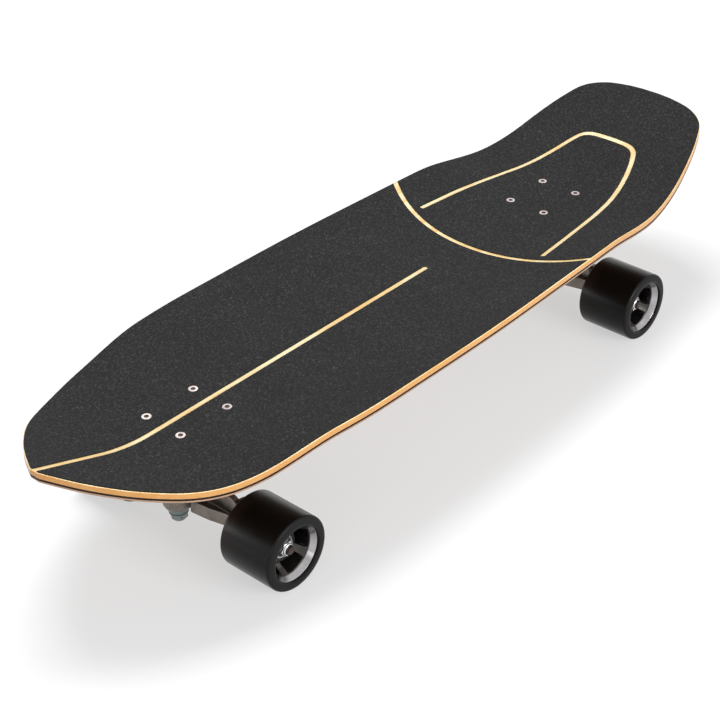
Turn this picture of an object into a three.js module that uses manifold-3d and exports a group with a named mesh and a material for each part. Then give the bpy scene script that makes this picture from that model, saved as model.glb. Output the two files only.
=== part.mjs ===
// Surf skateboard: a kicked, concave maple deck on a swinging front truck and a fixed rear truck.
// Millimetres, +X to the nose, +Y to the left, +Z up, origin on the floor under the deck's centre.
import * as THREE from 'three';
import { mergeVertices } from 'three/addons/utils/BufferGeometryUtils.js';
import Module from 'manifold-3d';

const wasm = await Module();
wasm.setup();

// Deck
const deckLength = 850;
const deckWidth = 253;
const topPliesThickness = 5.3;
const darkPlyThickness = 1.9;
const bottomPliesThickness = 2.4;
const glueLine = 0.1;
const edgeRound = 0.8;
const noseBendPastBolts = 14;
const noseBendLength = 54;
const noseKickSlopeShare = 0.33;
const tailBendPastBolts = 3;
const tailBendLength = 70;
const tailKickSlopeShare = 0.4;
const concaveLift = 12.4;
const concaveEndLift = 3.8;
const concaveBeforeTruck = 56;
const concaveFade = 90;
const concavePowerShare = 2.4;
const concaveFullShare = 0.88;
const deckColumns = 5;
const deckRowCount = 29;

// Half outline of the deck, nose to tail, as shares of the half length and the half width
const outlineShares = [
  [1, 0.035], [0.99, 0.1], [0.953, 0.305], [0.9, 0.51], [0.847, 0.647], [0.777, 0.775], [0.706, 0.86],
  [0.6, 0.928], [0.424, 0.989], [0.25, 1], [0, 0.999], [-0.25, 0.97], [-0.47, 0.934], [-0.62, 0.879],
  [-0.8, 0.772], [-0.906, 0.664], [-0.953, 0.58], [-0.982, 0.43], [-0.996, 0.23], [-1, 0.08],
];

// Grip sheets and the maple lines left bare between them
const gripThickness = 0.8;
const stringerWidth = 5.6;
const stringerTailShare = -0.112941176;
const seamWidth = 4;
const seamShare = -0.249411765;
const seamRadiusShare = 1.620553360;
const horseshoeWidth = 5.2;

// One arm of the horseshoe from its mouth to its end, as shares of the half length and the half width
const horseshoeShares = [
  [-0.315, 0.591], [-0.447, 0.552], [-0.577, 0.492], [-0.682, 0.417], [-0.753, 0.349], [-0.805, 0.245],
  [-0.818, 0.095],
];

// Deck bolts, on the usual short pattern, each group at its share of the half length
const frontTruckShare = 0.621176471;
const rearTruckShare = -0.552941176;
const boltPitchLong = 53.98;
const boltPitchWide = 41.28;
const boltDiameter = 4.8;
const boltHoleDiameter = 5.6;
const boltHeadDiameter = 9.6;
const boltHeadDepth = 2.7;
const boltHeadClearance = 0.3;
const boltSocketDiameter = 4;
const boltSocketDepth = 1.8;
const boltNutAcross = 9.2;
const boltNutHeight = 5;
const boltPastNut = 1.2;

// Trucks
const truckHeight = 79.1;
const frontAxleSet = -1;
const rearAxleSet = -13.3;
const plateLength = 94;
const plateWidth = 56;
const plateThickness = 6;
const plateCorner = 9;
const nutPocketDiameter = 14;
const towerWidth = 32;

// Hanger, measured from the axle's centre
const hangerLength = 164;
const hangerBossDiameter = 17;
const hangerBossLength = 17;
const shoulderAt = 48;
const shoulderHeight = 22;
const crownHeight = 25;
const hangerDepthBelow = 8;
const flangeTop = 10;
const flangeWall = 3.2;
const pocketFloor = 6.2;
const ridgeWall = 6.5;
const ridgeBackShare = 0.67;
const flangeFootShare = 1.2;
const bellyShare = 0.75;
const hangerBackWall = 1;
const shoulderFront = 2;
const flangeBow = 1;
const bossCornerDegrees = [-40, -12, 18, 42, 60, 78, 98, 125, 165, 215, 270];
const ringOffset = 19.5;
const ringDiameter = 28;
const ringHeight = 11.7;
const ringBottom = 2.3;
const ringLowDiameter = 23.6;
const ringTaper = 4;
const ringBoreDiameter = 13;
const bushingSeatDepth = 2;
const bushingSeatClearance = 0.3;
const pivotReach = 43.5;
const pivotRise = 15.8;
const pivotRootDiameter = 17;
const pivotTipDiameter = 11;
const noseRootShare = 0.46;

// Kingpin stack
const kingpinDiameter = 9.5;
const kingpinHeadDiameter = 16.4;
const kingpinHeadHeight = 6;
const kingpinPastNut = 0.9;
const kingpinNutHeight = 5.6;
const kingpinFloor = 5.5;
const bushingDiameter = 24;
const bushingBulge = 0.5;
const boardBushingHeight = 13;
const roadBushingHeight = 8;
const roadBushingDiameter = 20.6;
const roadBushingSmallDiameter = 17.4;
const topWasherThickness = 1.5;
const cupWasherDiameter = 17.6;
const cupWasherThickness = 2.5;
const pinClearance = 0.3;
const headClearance = 0.6;
const edgeChamfer = 1;

// Pivot cup
const cupWall = 1.9;
const cupFloor = 2.2;
const cupLength = 12;
const cupClearance = 0.4;
const cupBossWall = 3.4;
const legDepthBelowCup = 2.5;

// Swing arm of the front truck
const armTiltDegrees = 20;
const armPivotBack = 33;
const armThickness = 11;
const armGap = 0.5;
const armPivotEndDiameter = 44;
const armKingpinEndDiameter = 36;
const armBoltDiameter = 12;
const armBoltHeadDiameter = 20;
const armBoltHeadHeight = 4.5;
const armBoltHeadSeat = 6.5;
const armBoltInArm = 9;
const thrustBearingDiameter = 32;
const thrustBearingBore = 17;
const thrustBearingThickness = 4;
const swingClearance = 0.75;
const springLength = 30;
const springDiameter = 9.6;
const springWire = 1.8;
const springTurns = 5;
const springForward = 38;
const springClearance = 0.7;
const wedgeWidth = 48;
const wedgeNose = 36;

// Wheels
const wheelDiameter = 70;
const wheelWidth = 57.6;
const tyreLip = 5;
const coreDiameter = 54.2;
const coreRecess = 1;
const coreRim = 2.8;
const coreDepthInboard = 12;
const coreFit = 0.3;
const dishInnerDiameter = 35;
const dishDepth = 19;
const webThickness = 13.5;
const hubDiameter = 28.4;
const tyreInnerBore = 42;
const windowCount = 5;
const windowInnerDiameter = 31;
const windowOuterDiameter = 42;
const windowGapDegrees = 24;
const bearingDiameter = 22;
const bearingBore = 8;
const bearingWidth = 7;
const bearingSpacing = 10;
const bearingShoulder = 2;
const bearingFit = 0.2;
const boreFit = 0.25;
const axleDiameter = 8;
const axleFit = 0.15;
const axleNutAcross = 12.7;
const axleNutHeight = 6.5;
const axleNutCollar = 1.6;
const axlePastNut = 2.3;
const sideGap = 0.3;

// Facet counts
const roundWheel = 24;
const roundCore = 16;
const roundPart = 12;
const roundSmall = 10;
const roundHole = 7;
const hexSides = 6;
const arcSteps = 2;
const coilSteps = 7;
const coilSides = 4;
const overrun = 1;

const halfLength = deckLength / 2;
const halfWidth = deckWidth / 2;
const frontTruckX = frontTruckShare * halfLength;
const rearTruckX = rearTruckShare * halfLength;
const seamX = seamShare * halfLength;
const seamRadius = seamRadiusShare * halfWidth;
const axleZ = wheelDiameter / 2;
const undersideZ = axleZ + truckHeight;
const deckTopZ = undersideZ + bottomPliesThickness + darkPlyThickness + topPliesThickness + 2 * glueLine;
const armTilt = THREE.MathUtils.degToRad(armTiltDegrees);

const finishes = {
  maple: { color: 0xe2ac66, roughness: 0.5, metalness: 0 },
  darkPly: { color: 0x1d1714, roughness: 0.6, metalness: 0 },
  paleMaple: { color: 0xd9a47c, roughness: 0.5, metalness: 0 },
  grip: { color: 0x2b2b2b, roughness: 0.95, metalness: 0 },
  bolt: { color: 0xcfc6c0, roughness: 0.3, metalness: 1 },
  cast: { color: 0x8a8079, roughness: 0.42, metalness: 0.9 },
  steel: { color: 0xb9bdc0, roughness: 0.28, metalness: 1 },
  zinc: { color: 0xa9b8bf, roughness: 0.3, metalness: 1 },
  bushing: { color: 0x3f4448, roughness: 0.4, metalness: 0 },
  tyre: { color: 0x1d1a18, roughness: 0.35, metalness: 0 },
  core: { color: 0x5c5a59, roughness: 0.35, metalness: 0.8 },
  spring: { color: 0x777b80, roughness: 0.35, metalness: 1 },
};

// A closed geometry as a solid, with its faces turned outwards
function solid(geometry) {
  const bare = geometry.clone();
  for (const name of Object.keys(bare.attributes)) {
    if (name !== 'position') bare.deleteAttribute(name);
  }
  const merged = mergeVertices(bare);
  const position = merged.attributes.position.array;
  const corners = [];
  let volume = 0;
  for (let i = 0; i < merged.index.count; i += 3) {
    const [a, b, c] = [0, 1, 2].map((step) => merged.index.getX(i + step));
    if (a === b || b === c || c === a) continue;
    corners.push(a, b, c);
    const [p, q, r] = [a, b, c].map((corner) => new THREE.Vector3().fromArray(position, 3 * corner));
    volume += p.dot(q.cross(r));
  }
  if (volume < 0) corners.reverse();
  return new wasm.Manifold(new wasm.Mesh({
    numProp: 3,
    vertProperties: new Float32Array(position),
    triVerts: new Uint32Array(corners),
  }));
}

function geometryOf(body) {
  const mesh = body.getMesh();
  const geometry = new THREE.BufferGeometry();
  geometry.setAttribute('position', new THREE.BufferAttribute(new Float32Array(mesh.vertProperties), 3));
  geometry.setIndex(new THREE.BufferAttribute(new Uint32Array(mesh.triVerts), 1));
  const flat = geometry.toNonIndexed();
  flat.computeVertexNormals();
  return flat;
}

function piece(name, body, finish) {
  const mesh = new THREE.Mesh(geometryOf(body), new THREE.MeshStandardMaterial(finishes[finish]));
  mesh.name = name;
  return mesh;
}

function union(first, ...others) {
  return others.reduce((sum, next) => sum.add(next), first);
}

function cut(first, ...others) {
  return others.reduce((rest, next) => rest.subtract(next), first);
}

// A body of revolution about Y from [radius, place] points
function turned(profile, segments) {
  const points = profile.map(([radius, place]) => new THREE.Vector2(radius, place));
  return new THREE.LatheGeometry(points, segments);
}

// The same about Z
function turnedUp(profile, segments) {
  return turned(profile, segments).rotateX(Math.PI / 2);
}

function tube(outer, inner, low, high) {
  return [[inner, low], [outer, low], [outer, high], [inner, high], [inner, low]];
}

function rod(from, to, startDiameter, endDiameter, segments) {
  const span = to.clone().sub(from);
  const geometry = new THREE.CylinderGeometry(endDiameter / 2, startDiameter / 2, span.length(), segments);
  const turn = new THREE.Quaternion().setFromUnitVectors(new THREE.Vector3(0, 1, 0), span.normalize());
  const middle = from.clone().add(to).divideScalar(2);
  return geometry.applyQuaternion(turn).translate(middle.x, middle.y, middle.z);
}

function at(x, y, z) {
  return new THREE.Vector3(x, y, z);
}

// A standing cylinder over a plan point
function post(x, y, low, high, diameter, segments) {
  return solid(rod(at(x, y, low), at(x, y, high), diameter, diameter, segments));
}

// A bore for the axle, open past both given ends
function axleBore(half) {
  const bore = axleDiameter + 2 * axleFit;
  return solid(rod(at(0, -half, 0), at(0, half, 0), bore, bore, roundSmall));
}

function shapeOf(points) {
  return new THREE.Shape(points.map(([x, y]) => new THREE.Vector2(x, y)));
}

// A plan outline standing from low to high
function upright(shape, low, high) {
  const options = { depth: high - low, bevelEnabled: false, curveSegments: arcSteps };
  return new THREE.ExtrudeGeometry(shape, options).translate(0, 0, low);
}

// A side profile in X and Z, extruded evenly to both sides of the centre plane
function sideways(points, width) {
  const options = { depth: width, bevelEnabled: false };
  const geometry = new THREE.ExtrudeGeometry(shapeOf(points), options);
  return geometry.translate(0, 0, -width / 2).rotateX(Math.PI / 2);
}

function roundedPlate(length, width, corner) {
  const [x, y] = [length / 2 - corner, width / 2 - corner];
  const shape = new THREE.Shape();
  shape.absarc(x, y, corner, 0, Math.PI / 2);
  shape.absarc(-x, y, corner, Math.PI / 2, Math.PI);
  shape.absarc(-x, -y, corner, Math.PI, 3 * Math.PI / 2);
  shape.absarc(x, -y, corner, 3 * Math.PI / 2, 2 * Math.PI);
  return shape;
}

function boltPlaces() {
  const places = [];
  for (const side of [1, -1]) {
    for (const end of [1, -1]) places.push([end * boltPitchLong / 2, side * boltPitchWide / 2]);
  }
  return places;
}

// Rise of the bent ends above the flat middle
function kick(x) {
  const noseBend = frontTruckX + boltPitchLong / 2 + noseBendPastBolts;
  const tailBend = rearTruckX - boltPitchLong / 2 - tailBendPastBolts;
  const rise = (past, length, slope) => {
    if (past <= 0) return 0;
    if (past < length) return slope * past * past / (2 * length);
    return slope * (past - length / 2);
  };
  const nose = rise(x - noseBend, noseBendLength, noseKickSlopeShare);
  return nose + rise(tailBend - x, tailBendLength, tailKickSlopeShare);
}

// Lift of the edge above the centre line, full up to just before the trucks
function concave(x) {
  const start = (x > 0 ? frontTruckX : -rearTruckX) - concaveBeforeTruck;
  const fade = THREE.MathUtils.smoothstep(Math.abs(x), start, start + concaveFade);
  return THREE.MathUtils.lerp(concaveLift, concaveEndLift, fade);
}

function deckRows() {
  const points = outlineShares.map(([along, across]) => (
    at(along * halfLength, across * halfWidth, 0)
  ));
  const curve = new THREE.CatmullRomCurve3(points, false, 'centripetal');
  return curve.getPoints(deckRowCount);
}

// One layer of the deck between the first and last of its levels, each a depth and an edge inset
function deckLayer(levels) {
  const rows = deckRows();
  const columns = deckColumns;
  const corners = [];
  const place = (row, column, [depth, inset]) => {
    const { x, y: half } = rows[row];
    const across = 2 * column / columns - 1;
    const narrow = Math.min(half / (concaveFullShare * halfWidth), 1);
    const lift = concave(x) * (Math.abs(across) * narrow) ** concavePowerShare;
    const shrink = 1 - 2 * inset / deckLength;
    const width = half * (1 - 2 * inset / deckWidth);
    return [x * shrink, across * width, deckTopZ + kick(x) + lift - depth];
  };
  const quad = (a, b, c, d) => corners.push(...a, ...b, ...c, ...a, ...c, ...d);
  const [top, bottom] = [levels[0], levels[levels.length - 1]];
  for (let row = 0; row + 1 < rows.length; row += 1) {
    for (let column = 0; column < columns; column += 1) {
      const ring = [[row, column], [row, column + 1], [row + 1, column + 1], [row + 1, column]];
      quad(...ring.map(([i, j]) => place(i, j, top)));
      const [first, ...others] = ring.map(([i, j]) => place(i, j, bottom));
      quad(first, ...others.reverse());
    }
  }
  const edge = [];
  const last = rows.length - 1;
  for (let row = 0; row < last; row += 1) edge.push([row, columns]);
  for (let column = columns; column > 0; column -= 1) edge.push([last, column]);
  for (let row = last; row > 0; row -= 1) edge.push([row, 0]);
  for (let column = 0; column < columns; column += 1) edge.push([0, column]);
  levels.slice(1).forEach((lower, index) => {
    const upper = levels[index];
    edge.forEach(([i, j], step) => {
      const [k, l] = edge[(step + 1) % edge.length];
      quad(place(i, j, upper), place(i, j, lower), place(k, l, lower), place(k, l, upper));
    });
  });
  const geometry = new THREE.BufferGeometry();
  geometry.setAttribute('position', new THREE.Float32BufferAttribute(corners, 3));
  return solid(geometry);
}

// Clearance for the eight deck bolts and their countersunk heads
function boltHoles() {
  const headTop = deckTopZ + glueLine + gripThickness;
  const wide = boltHeadDiameter / 2 + boltHeadClearance;
  const narrow = boltHoleDiameter / 2;
  const start = undersideZ - overrun;
  const profile = [
    [0, start], [narrow, start], [narrow, headTop - boltHeadDepth - boltHeadClearance],
    [wide, headTop - boltHeadClearance], [wide, headTop + overrun], [0, headTop + overrun],
  ];
  return [frontTruckX, rearTruckX].flatMap((truckX) => (
    boltPlaces().map(([x, y]) => solid(turnedUp(profile, roundHole).translate(truckX + x, y, 0)))
  ));
}

// An even band along a line of plan points, with round or square ends
function band(points, width, round) {
  const half = width / 2;
  const left = [];
  const right = [];
  points.forEach((point, index) => {
    const before = points[Math.max(index - 1, 0)];
    const after = points[Math.min(index + 1, points.length - 1)];
    const along = after.clone().sub(before).normalize();
    const out = new THREE.Vector2(-along.y, along.x).multiplyScalar(half);
    left.push(point.clone().add(out));
    right.unshift(point.clone().sub(out));
  });
  if (round) {
    const last = points[points.length - 1];
    const first = points[0];
    left.push(last.clone().add(last.clone().sub(points[points.length - 2]).setLength(half)));
    right.push(first.clone().add(first.clone().sub(points[1]).setLength(half)));
  }
  return upright(new THREE.Shape([...left, ...right]), deckTopZ - overrun, deckTopZ + deckWidth);
}

function stringerCut() {
  const from = new THREE.Vector2(halfLength + stringerWidth, 0);
  return solid(band([from, new THREE.Vector2(stringerTailShare * halfLength, 0)], stringerWidth, true));
}

function horseshoeCut() {
  const arm = horseshoeShares.map(([along, across]) => at(along * halfLength, across * halfWidth, 0));
  const mirrored = arm.map(({ x, y }) => at(x, -y, 0)).reverse();
  const curve = new THREE.CatmullRomCurve3([...arm, ...mirrored], false, 'centripetal');
  const points = curve.getPoints(2 * arm.length * arcSteps).map(({ x, y }) => new THREE.Vector2(x, y));
  return solid(band(points, horseshoeWidth, true));
}

// Everything on the tail side of an arc of the given radius about the seam's centre
function tailSide(radius) {
  const spread = Math.asin((halfWidth + horseshoeWidth) / radius);
  const shape = new THREE.Shape();
  shape.absarc(seamX - seamRadius, 0, radius, -spread, spread);
  shape.lineTo(-deckLength, deckWidth);
  shape.lineTo(-deckLength, -deckWidth);
  const options = { depth: deckWidth, bevelEnabled: false, curveSegments: roundPart };
  return solid(new THREE.ExtrudeGeometry(shape, options).translate(0, 0, deckTopZ - overrun));
}

function makeDeck() {
  const holes = boltHoles();
  const darkTop = topPliesThickness + glueLine;
  const bottomTop = darkTop + darkPlyThickness + glueLine;
  const bottomEnd = bottomTop + bottomPliesThickness;
  const inset = edgeRound / 2;
  const top = deckLayer([[0, inset], [inset, 0], [topPliesThickness, 0]]);
  const dark = deckLayer([[darkTop, 0], [darkTop + darkPlyThickness, 0]]);
  const bottom = deckLayer([[bottomTop, 0], [bottomEnd - edgeRound, 0], [bottomEnd, edgeRound]]);
  const grip = cut(deckLayer([[-glueLine - gripThickness, inset], [-glueLine, inset]]), ...holes);
  return [
    piece('deck_top_plies', cut(top, ...holes), 'maple'),
    piece('deck_dark_ply', cut(dark, ...holes), 'darkPly'),
    piece('deck_bottom_plies', cut(bottom, ...holes), 'paleMaple'),
    piece('grip_front', cut(grip, tailSide(seamRadius + seamWidth / 2), stringerCut()), 'grip'),
    piece('grip_rear', cut(grip.intersect(tailSide(seamRadius - seamWidth / 2)), horseshoeCut()), 'grip'),
  ];
}

// A countersunk bolt with its lock nut under the truck's plate
function deckBolt(name) {
  const headTop = deckTopZ + glueLine + gripThickness - undersideZ;
  const nutTop = -plateThickness;
  const end = nutTop - boltNutHeight - boltPastNut;
  const [shank, head, socket] = [boltDiameter / 2, boltHeadDiameter / 2, boltSocketDiameter / 2];
  const profile = [
    [0, end], [shank, end], [shank, headTop - boltHeadDepth], [head, headTop - boltHeadClearance],
    [head, headTop], [socket, headTop], [socket, headTop - boltSocketDepth], [0, headTop - boltSocketDepth],
  ];
  const screw = solid(turnedUp(profile, roundHole));
  const across = boltNutAcross / Math.cos(Math.PI / hexSides);
  return piece(name, screw.add(post(0, 0, nutTop - boltNutHeight, nutTop, across, hexSides)), 'bolt');
}

function makeBolts() {
  const trucks = { front: frontTruckX, rear: rearTruckX };
  return Object.entries(trucks).flatMap(([end, truckX]) => boltPlaces().map(([x, y], index) => {
    const bolt = deckBolt(`${end}_deck_bolt_${index + 1}`);
    bolt.position.set(truckX + x, y, undersideZ);
    return bolt;
  }));
}

// A closed skin over sections of equal point count, each given at its place along Y
function lofted(sections) {
  const corners = [];
  const place = ([y, points], index) => {
    const [x, z] = points[(index + points.length) % points.length];
    return [x, y, z];
  };
  for (let step = 0; step + 1 < sections.length; step += 1) {
    const [near, far] = [sections[step], sections[step + 1]];
    near[1].forEach((_, index) => {
      const [a, b] = [place(near, index), place(near, index + 1)];
      const [c, d] = [place(far, index + 1), place(far, index)];
      corners.push(...a, ...b, ...c, ...a, ...c, ...d);
    });
  }
  const cap = (section, flip) => {
    const outline = section[1].map(([x, z]) => new THREE.Vector2(x, z));
    for (const face of THREE.ShapeUtils.triangulateShape(outline, [])) {
      const order = flip ? [...face].reverse() : face;
      order.forEach((index) => corners.push(...place(section, index)));
    }
  };
  const clockwise = THREE.ShapeUtils.isClockWise(sections[0][1].map(([x, z]) => new THREE.Vector2(x, z)));
  cap(sections[0], !clockwise);
  cap(sections[sections.length - 1], clockwise);
  const geometry = new THREE.BufferGeometry();
  geometry.setAttribute('position', new THREE.Float32BufferAttribute(corners, 3));
  return solid(geometry);
}

// One section of the hanger's body: a low front flange, a pocket and a tall ridge behind it
function hangerSection(front, ridge, low) {
  const back = hangerBossDiameter / 2 + hangerBackWall;
  return [
    [front - flangeWall, -low], [front, -low / 2], [front - flangeWall / 3, flangeTop],
    [front - flangeWall, flangeTop], [front - flangeFootShare * flangeWall, pocketFloor],
    [ridgeWall / 2, pocketFloor], [ridgeWall / 4, ridge], [-ridgeWall * ridgeBackShare, ridge],
    [-back, flangeTop / 3], [-back * bellyShare, -low * bellyShare], [0, -hangerDepthBelow],
  ];
}

function bossSection() {
  return bossCornerDegrees.map((degrees) => {
    const angle = THREE.MathUtils.degToRad(degrees);
    return [Math.cos(angle) * hangerBossDiameter / 2, Math.sin(angle) * hangerBossDiameter / 2];
  });
}

function ringCentre() {
  return at(ringOffset, 0, ringBottom + ringHeight / 2);
}

function pivotPoint() {
  return ringCentre().add(at(-pivotReach, 0, pivotRise));
}

// The hanger's body, lofted across from one axle boss to the other
function hangerBody() {
  const half = hangerLength / 2;
  const boss = half - hangerBossLength;
  const ringHalf = ringDiameter / 2;
  const low = hangerDepthBelow / 2;
  const atRing = ringOffset - flangeWall;
  const atShoulder = hangerBossDiameter / 2 + shoulderFront;
  const atBoss = hangerBossDiameter / 2 + hangerBackWall;
  const between = (atRing + atShoulder) / 2 + flangeBow;
  const stations = [
    [0, hangerSection(atRing, crownHeight, low / 2)],
    [ringHalf, hangerSection(atRing, crownHeight, low)],
    [(ringHalf + shoulderAt) / 2, hangerSection(between, (crownHeight + shoulderHeight) / 2, low)],
    [shoulderAt, hangerSection(atShoulder, shoulderHeight, low)],
    [(shoulderAt + boss) / 2, hangerSection(atBoss, flangeTop + pocketFloor, low)],
    [boss, bossSection()],
    [half, bossSection()],
  ];
  const mirrored = stations.slice(1).reverse().map(([y, points]) => [-y, points]);
  return lofted([...mirrored, ...stations]);
}

// The nose that points back and up from the ring and ends in the pivot's ball
function pivotNose() {
  const [centre, tip] = [ringCentre(), pivotPoint()];
  const root = centre.clone().lerp(tip, noseRootShare);
  const nose = solid(rod(root, tip, pivotRootDiameter, pivotTipDiameter, roundPart));
  const ball = new THREE.SphereGeometry(pivotTipDiameter / 2, roundPart, 3 * arcSteps);
  ball.rotateX(Math.PI / 2).applyQuaternion(pivotTurn()).translate(tip.x, tip.y, tip.z);
  return nose.add(solid(ball));
}

// Ring for the bushings, which narrows towards the road
function bushingRing() {
  const [low, high] = [at(ringOffset, 0, ringBottom), at(ringOffset, 0, ringBottom + ringTaper)];
  const upper = post(ringOffset, 0, high.z, ringBottom + ringHeight, ringDiameter, roundPart);
  return upper.add(solid(rod(low, high, ringLowDiameter, ringDiameter, roundPart)));
}

// Cast hanger: lofted body with a pocket behind its front flange, bushing ring and pivot nose
function makeHanger(name) {
  const ringTop = ringBottom + ringHeight;
  const [seat, lowSeat] = [bushingDiameter, roadBushingDiameter].map((wide) => wide + 2 * bushingSeatClearance);
  const cast = cut(
    union(hangerBody(), bushingRing(), pivotNose()),
    post(ringOffset, 0, ringTop - bushingSeatDepth, ringTop + crownHeight, seat, roundPart),
    post(ringOffset, 0, 0, ringBottom + bushingSeatDepth, lowSeat, roundPart),
    post(ringOffset, 0, -crownHeight, ringBottom, seat, roundPart),
    post(ringOffset, 0, -crownHeight, crownHeight, ringBoreDiameter, roundPart),
    axleBore(hangerLength),
  );
  return piece(name, cast, 'cast');
}

// Turns +Z to the lean axis, which runs from the ring back and up to the pivot
function pivotTurn() {
  const along = at(-pivotReach, 0, pivotRise).normalize();
  return new THREE.Quaternion().setFromUnitVectors(at(0, 0, 1), along);
}

function makeAxle(name) {
  const nutFace = hangerLength / 2 + sideGap + 2 * bearingWidth + bearingSpacing + sideGap;
  const half = nutFace + axleNutHeight + axlePastNut;
  const [wide, thin] = [axleDiameter / 2, axleDiameter / 2 - edgeChamfer / 2];
  const profile = [
    [0, -half], [thin, -half], [wide, edgeChamfer - half],
    [wide, half - edgeChamfer], [thin, half], [0, half],
  ];
  return piece(name, solid(turned(profile, roundSmall)), 'steel');
}

// Levels where the parts on the kingpin meet, above the axle's centre
function stackLevels() {
  const seatLow = ringBottom + bushingSeatDepth;
  const seatHigh = ringBottom + ringHeight - bushingSeatDepth;
  const boardTop = seatHigh + boardBushingHeight;
  const washerTop = boardTop + topWasherThickness;
  const roadEnd = seatLow - roadBushingHeight;
  const cupEnd = roadEnd - cupWasherThickness;
  const nutEnd = cupEnd - kingpinNutHeight;
  return { seatLow, seatHigh, boardTop, washerTop, roadEnd, cupEnd, nutEnd };
}

function makeKingpin(name) {
  const { nutEnd, washerTop } = stackLevels();
  const [tip, headLow] = [nutEnd - kingpinPastNut, washerTop + kingpinFloor];
  const pin = kingpinDiameter / 2;
  const shank = solid(turnedUp([
    [0, tip], [pin - edgeChamfer / 2, tip], [pin, tip + edgeChamfer], [pin, headLow], [0, headLow],
  ], roundSmall));
  const head = post(0, 0, headLow - pinClearance, headLow + kingpinHeadHeight, kingpinHeadDiameter, hexSides);
  return piece(name, shank.add(head), 'steel');
}

function stackBore() {
  return kingpinDiameter / 2 + pinClearance;
}

function makeBoardBushing(name) {
  const { seatHigh, boardTop } = stackLevels();
  const [bore, wide] = [stackBore(), bushingDiameter / 2];
  const profile = [
    [bore, seatHigh], [wide - bushingBulge, seatHigh], [wide, seatHigh + bushingSeatDepth],
    [wide, boardTop - bushingSeatDepth], [wide - bushingBulge, boardTop], [bore, boardTop], [bore, seatHigh],
  ];
  return piece(name, solid(turnedUp(profile, roundPart)), 'bushing');
}

function makeRoadBushing(name) {
  const { seatLow, roadEnd } = stackLevels();
  const [bore, wide, small] = [stackBore(), roadBushingDiameter / 2, roadBushingSmallDiameter / 2];
  const profile = [
    [bore, seatLow], [wide, seatLow], [wide, seatLow - bushingSeatDepth], [small, roadEnd], [bore, roadEnd],
    [bore, seatLow],
  ];
  return piece(name, solid(turnedUp(profile, roundPart)), 'bushing');
}

function makeBoardWasher(name) {
  const { boardTop, washerTop } = stackLevels();
  const profile = tube(bushingDiameter / 2, stackBore(), boardTop, washerTop);
  return piece(name, solid(turnedUp(profile, roundPart)), 'zinc');
}

function makeRoadWasher(name) {
  const { roadEnd, cupEnd } = stackLevels();
  const [bore, wide] = [stackBore(), cupWasherDiameter / 2];
  const profile = [
    [bore, roadEnd], [wide, roadEnd], [wide - edgeChamfer / 2, cupEnd + edgeChamfer],
    [wide - edgeChamfer, cupEnd], [bore, cupEnd], [bore, roadEnd],
  ];
  return piece(name, solid(turnedUp(profile, roundPart)), 'zinc');
}

function makeKingpinNut(name) {
  const { cupEnd, nutEnd } = stackLevels();
  const wide = kingpinHeadDiameter / 2;
  const nut = solid(turnedUp([
    [0, nutEnd], [wide - edgeChamfer, nutEnd], [wide, nutEnd + edgeChamfer], [wide, cupEnd], [0, cupEnd],
  ], hexSides));
  const bore = post(0, 0, nutEnd - overrun, cupEnd + overrun, 2 * stackBore(), roundSmall);
  return piece(name, cut(nut, bore), 'zinc');
}

// Kingpin, washers, bushings and nut, stacked about the ring's axis
function kingpinStack(end) {
  const stack = new THREE.Group();
  stack.add(
    makeKingpin(`${end}_kingpin`),
    makeBoardBushing(`${end}_bushing_boardside`),
    makeRoadBushing(`${end}_bushing_roadside`),
    makeBoardWasher(`${end}_washer_boardside`),
    makeRoadWasher(`${end}_washer_roadside`),
    makeKingpinNut(`${end}_kingpin_nut`),
  );
  stack.position.x = ringOffset;
  return stack;
}

function cupDiameter() {
  return pivotTipDiameter + 2 * (cupClearance + cupWall);
}

// Place along the lean axis, measured past the pivot's ball
function alongLean(distance) {
  return at(0, 0, distance).applyQuaternion(pivotTurn()).add(pivotPoint());
}

function makePivotCup(name) {
  const outer = cupDiameter() / 2;
  const inner = pivotTipDiameter / 2 + cupClearance;
  const end = inner + cupFloor;
  const mouth = end - cupLength;
  const profile = [
    [0, inner], [inner, inner], [inner, 0], [inner + cupClearance, mouth],
    [outer, mouth], [outer, end], [0, end],
  ];
  const tip = pivotPoint();
  const cup = turnedUp(profile, roundPart).applyQuaternion(pivotTurn()).translate(tip.x, tip.y, tip.z);
  return piece(name, solid(cup), 'bushing');
}

// The blind bore that takes the cup, and the swept room for the hanger's nose
function cupBore() {
  const wide = cupDiameter() + 2 * pinClearance;
  const end = pivotTipDiameter / 2 + cupClearance + cupFloor + pinClearance;
  return solid(rod(alongLean(-pivotReach / 2), alongLean(end), wide, wide, roundPart));
}

// Leg that reaches down to the pivot cup, from the given top height
function pivotLeg(top) {
  const tip = pivotPoint();
  const wide = cupDiameter() / 2 + cupBossWall;
  const low = tip.z - wide - legDepthBelowCup;
  const front = tip.x + cupLength / 3;
  return solid(sideways([
    [front, low + legDepthBelowCup], [front, top], [tip.x - cupLength - cupBossWall, top],
    [tip.x - cupLength, low + wide], [tip.x - cupLength / 2, low],
  ], 2 * wide));
}

// Hole and well for the kingpin and its head
function kingpinHole() {
  const hole = kingpinDiameter + 2 * pinClearance;
  const well = kingpinHeadDiameter + 2 * headClearance;
  const seat = stackLevels().washerTop;
  const ledge = seat + kingpinFloor;
  return union(
    post(ringOffset, 0, seat - overrun, ledge + overrun, hole, roundSmall),
    post(ringOffset, 0, ledge - pinClearance, truckHeight + overrun, well, roundPart),
  );
}

// Bolt holes in the top plate, and the room below it for their nuts
function plateHoles(centre) {
  return boltPlaces().flatMap(([x, y]) => [
    post(centre + x, y, 0, truckHeight + overrun, boltHoleDiameter, roundHole),
    post(centre + x, y, 0, truckHeight - plateThickness, nutPocketDiameter, roundHole),
  ]);
}

function topPlate(centre) {
  const shape = roundedPlate(plateLength, plateWidth, plateCorner);
  return solid(upright(shape, truckHeight - plateThickness, truckHeight).translate(centre, 0, 0));
}

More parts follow.
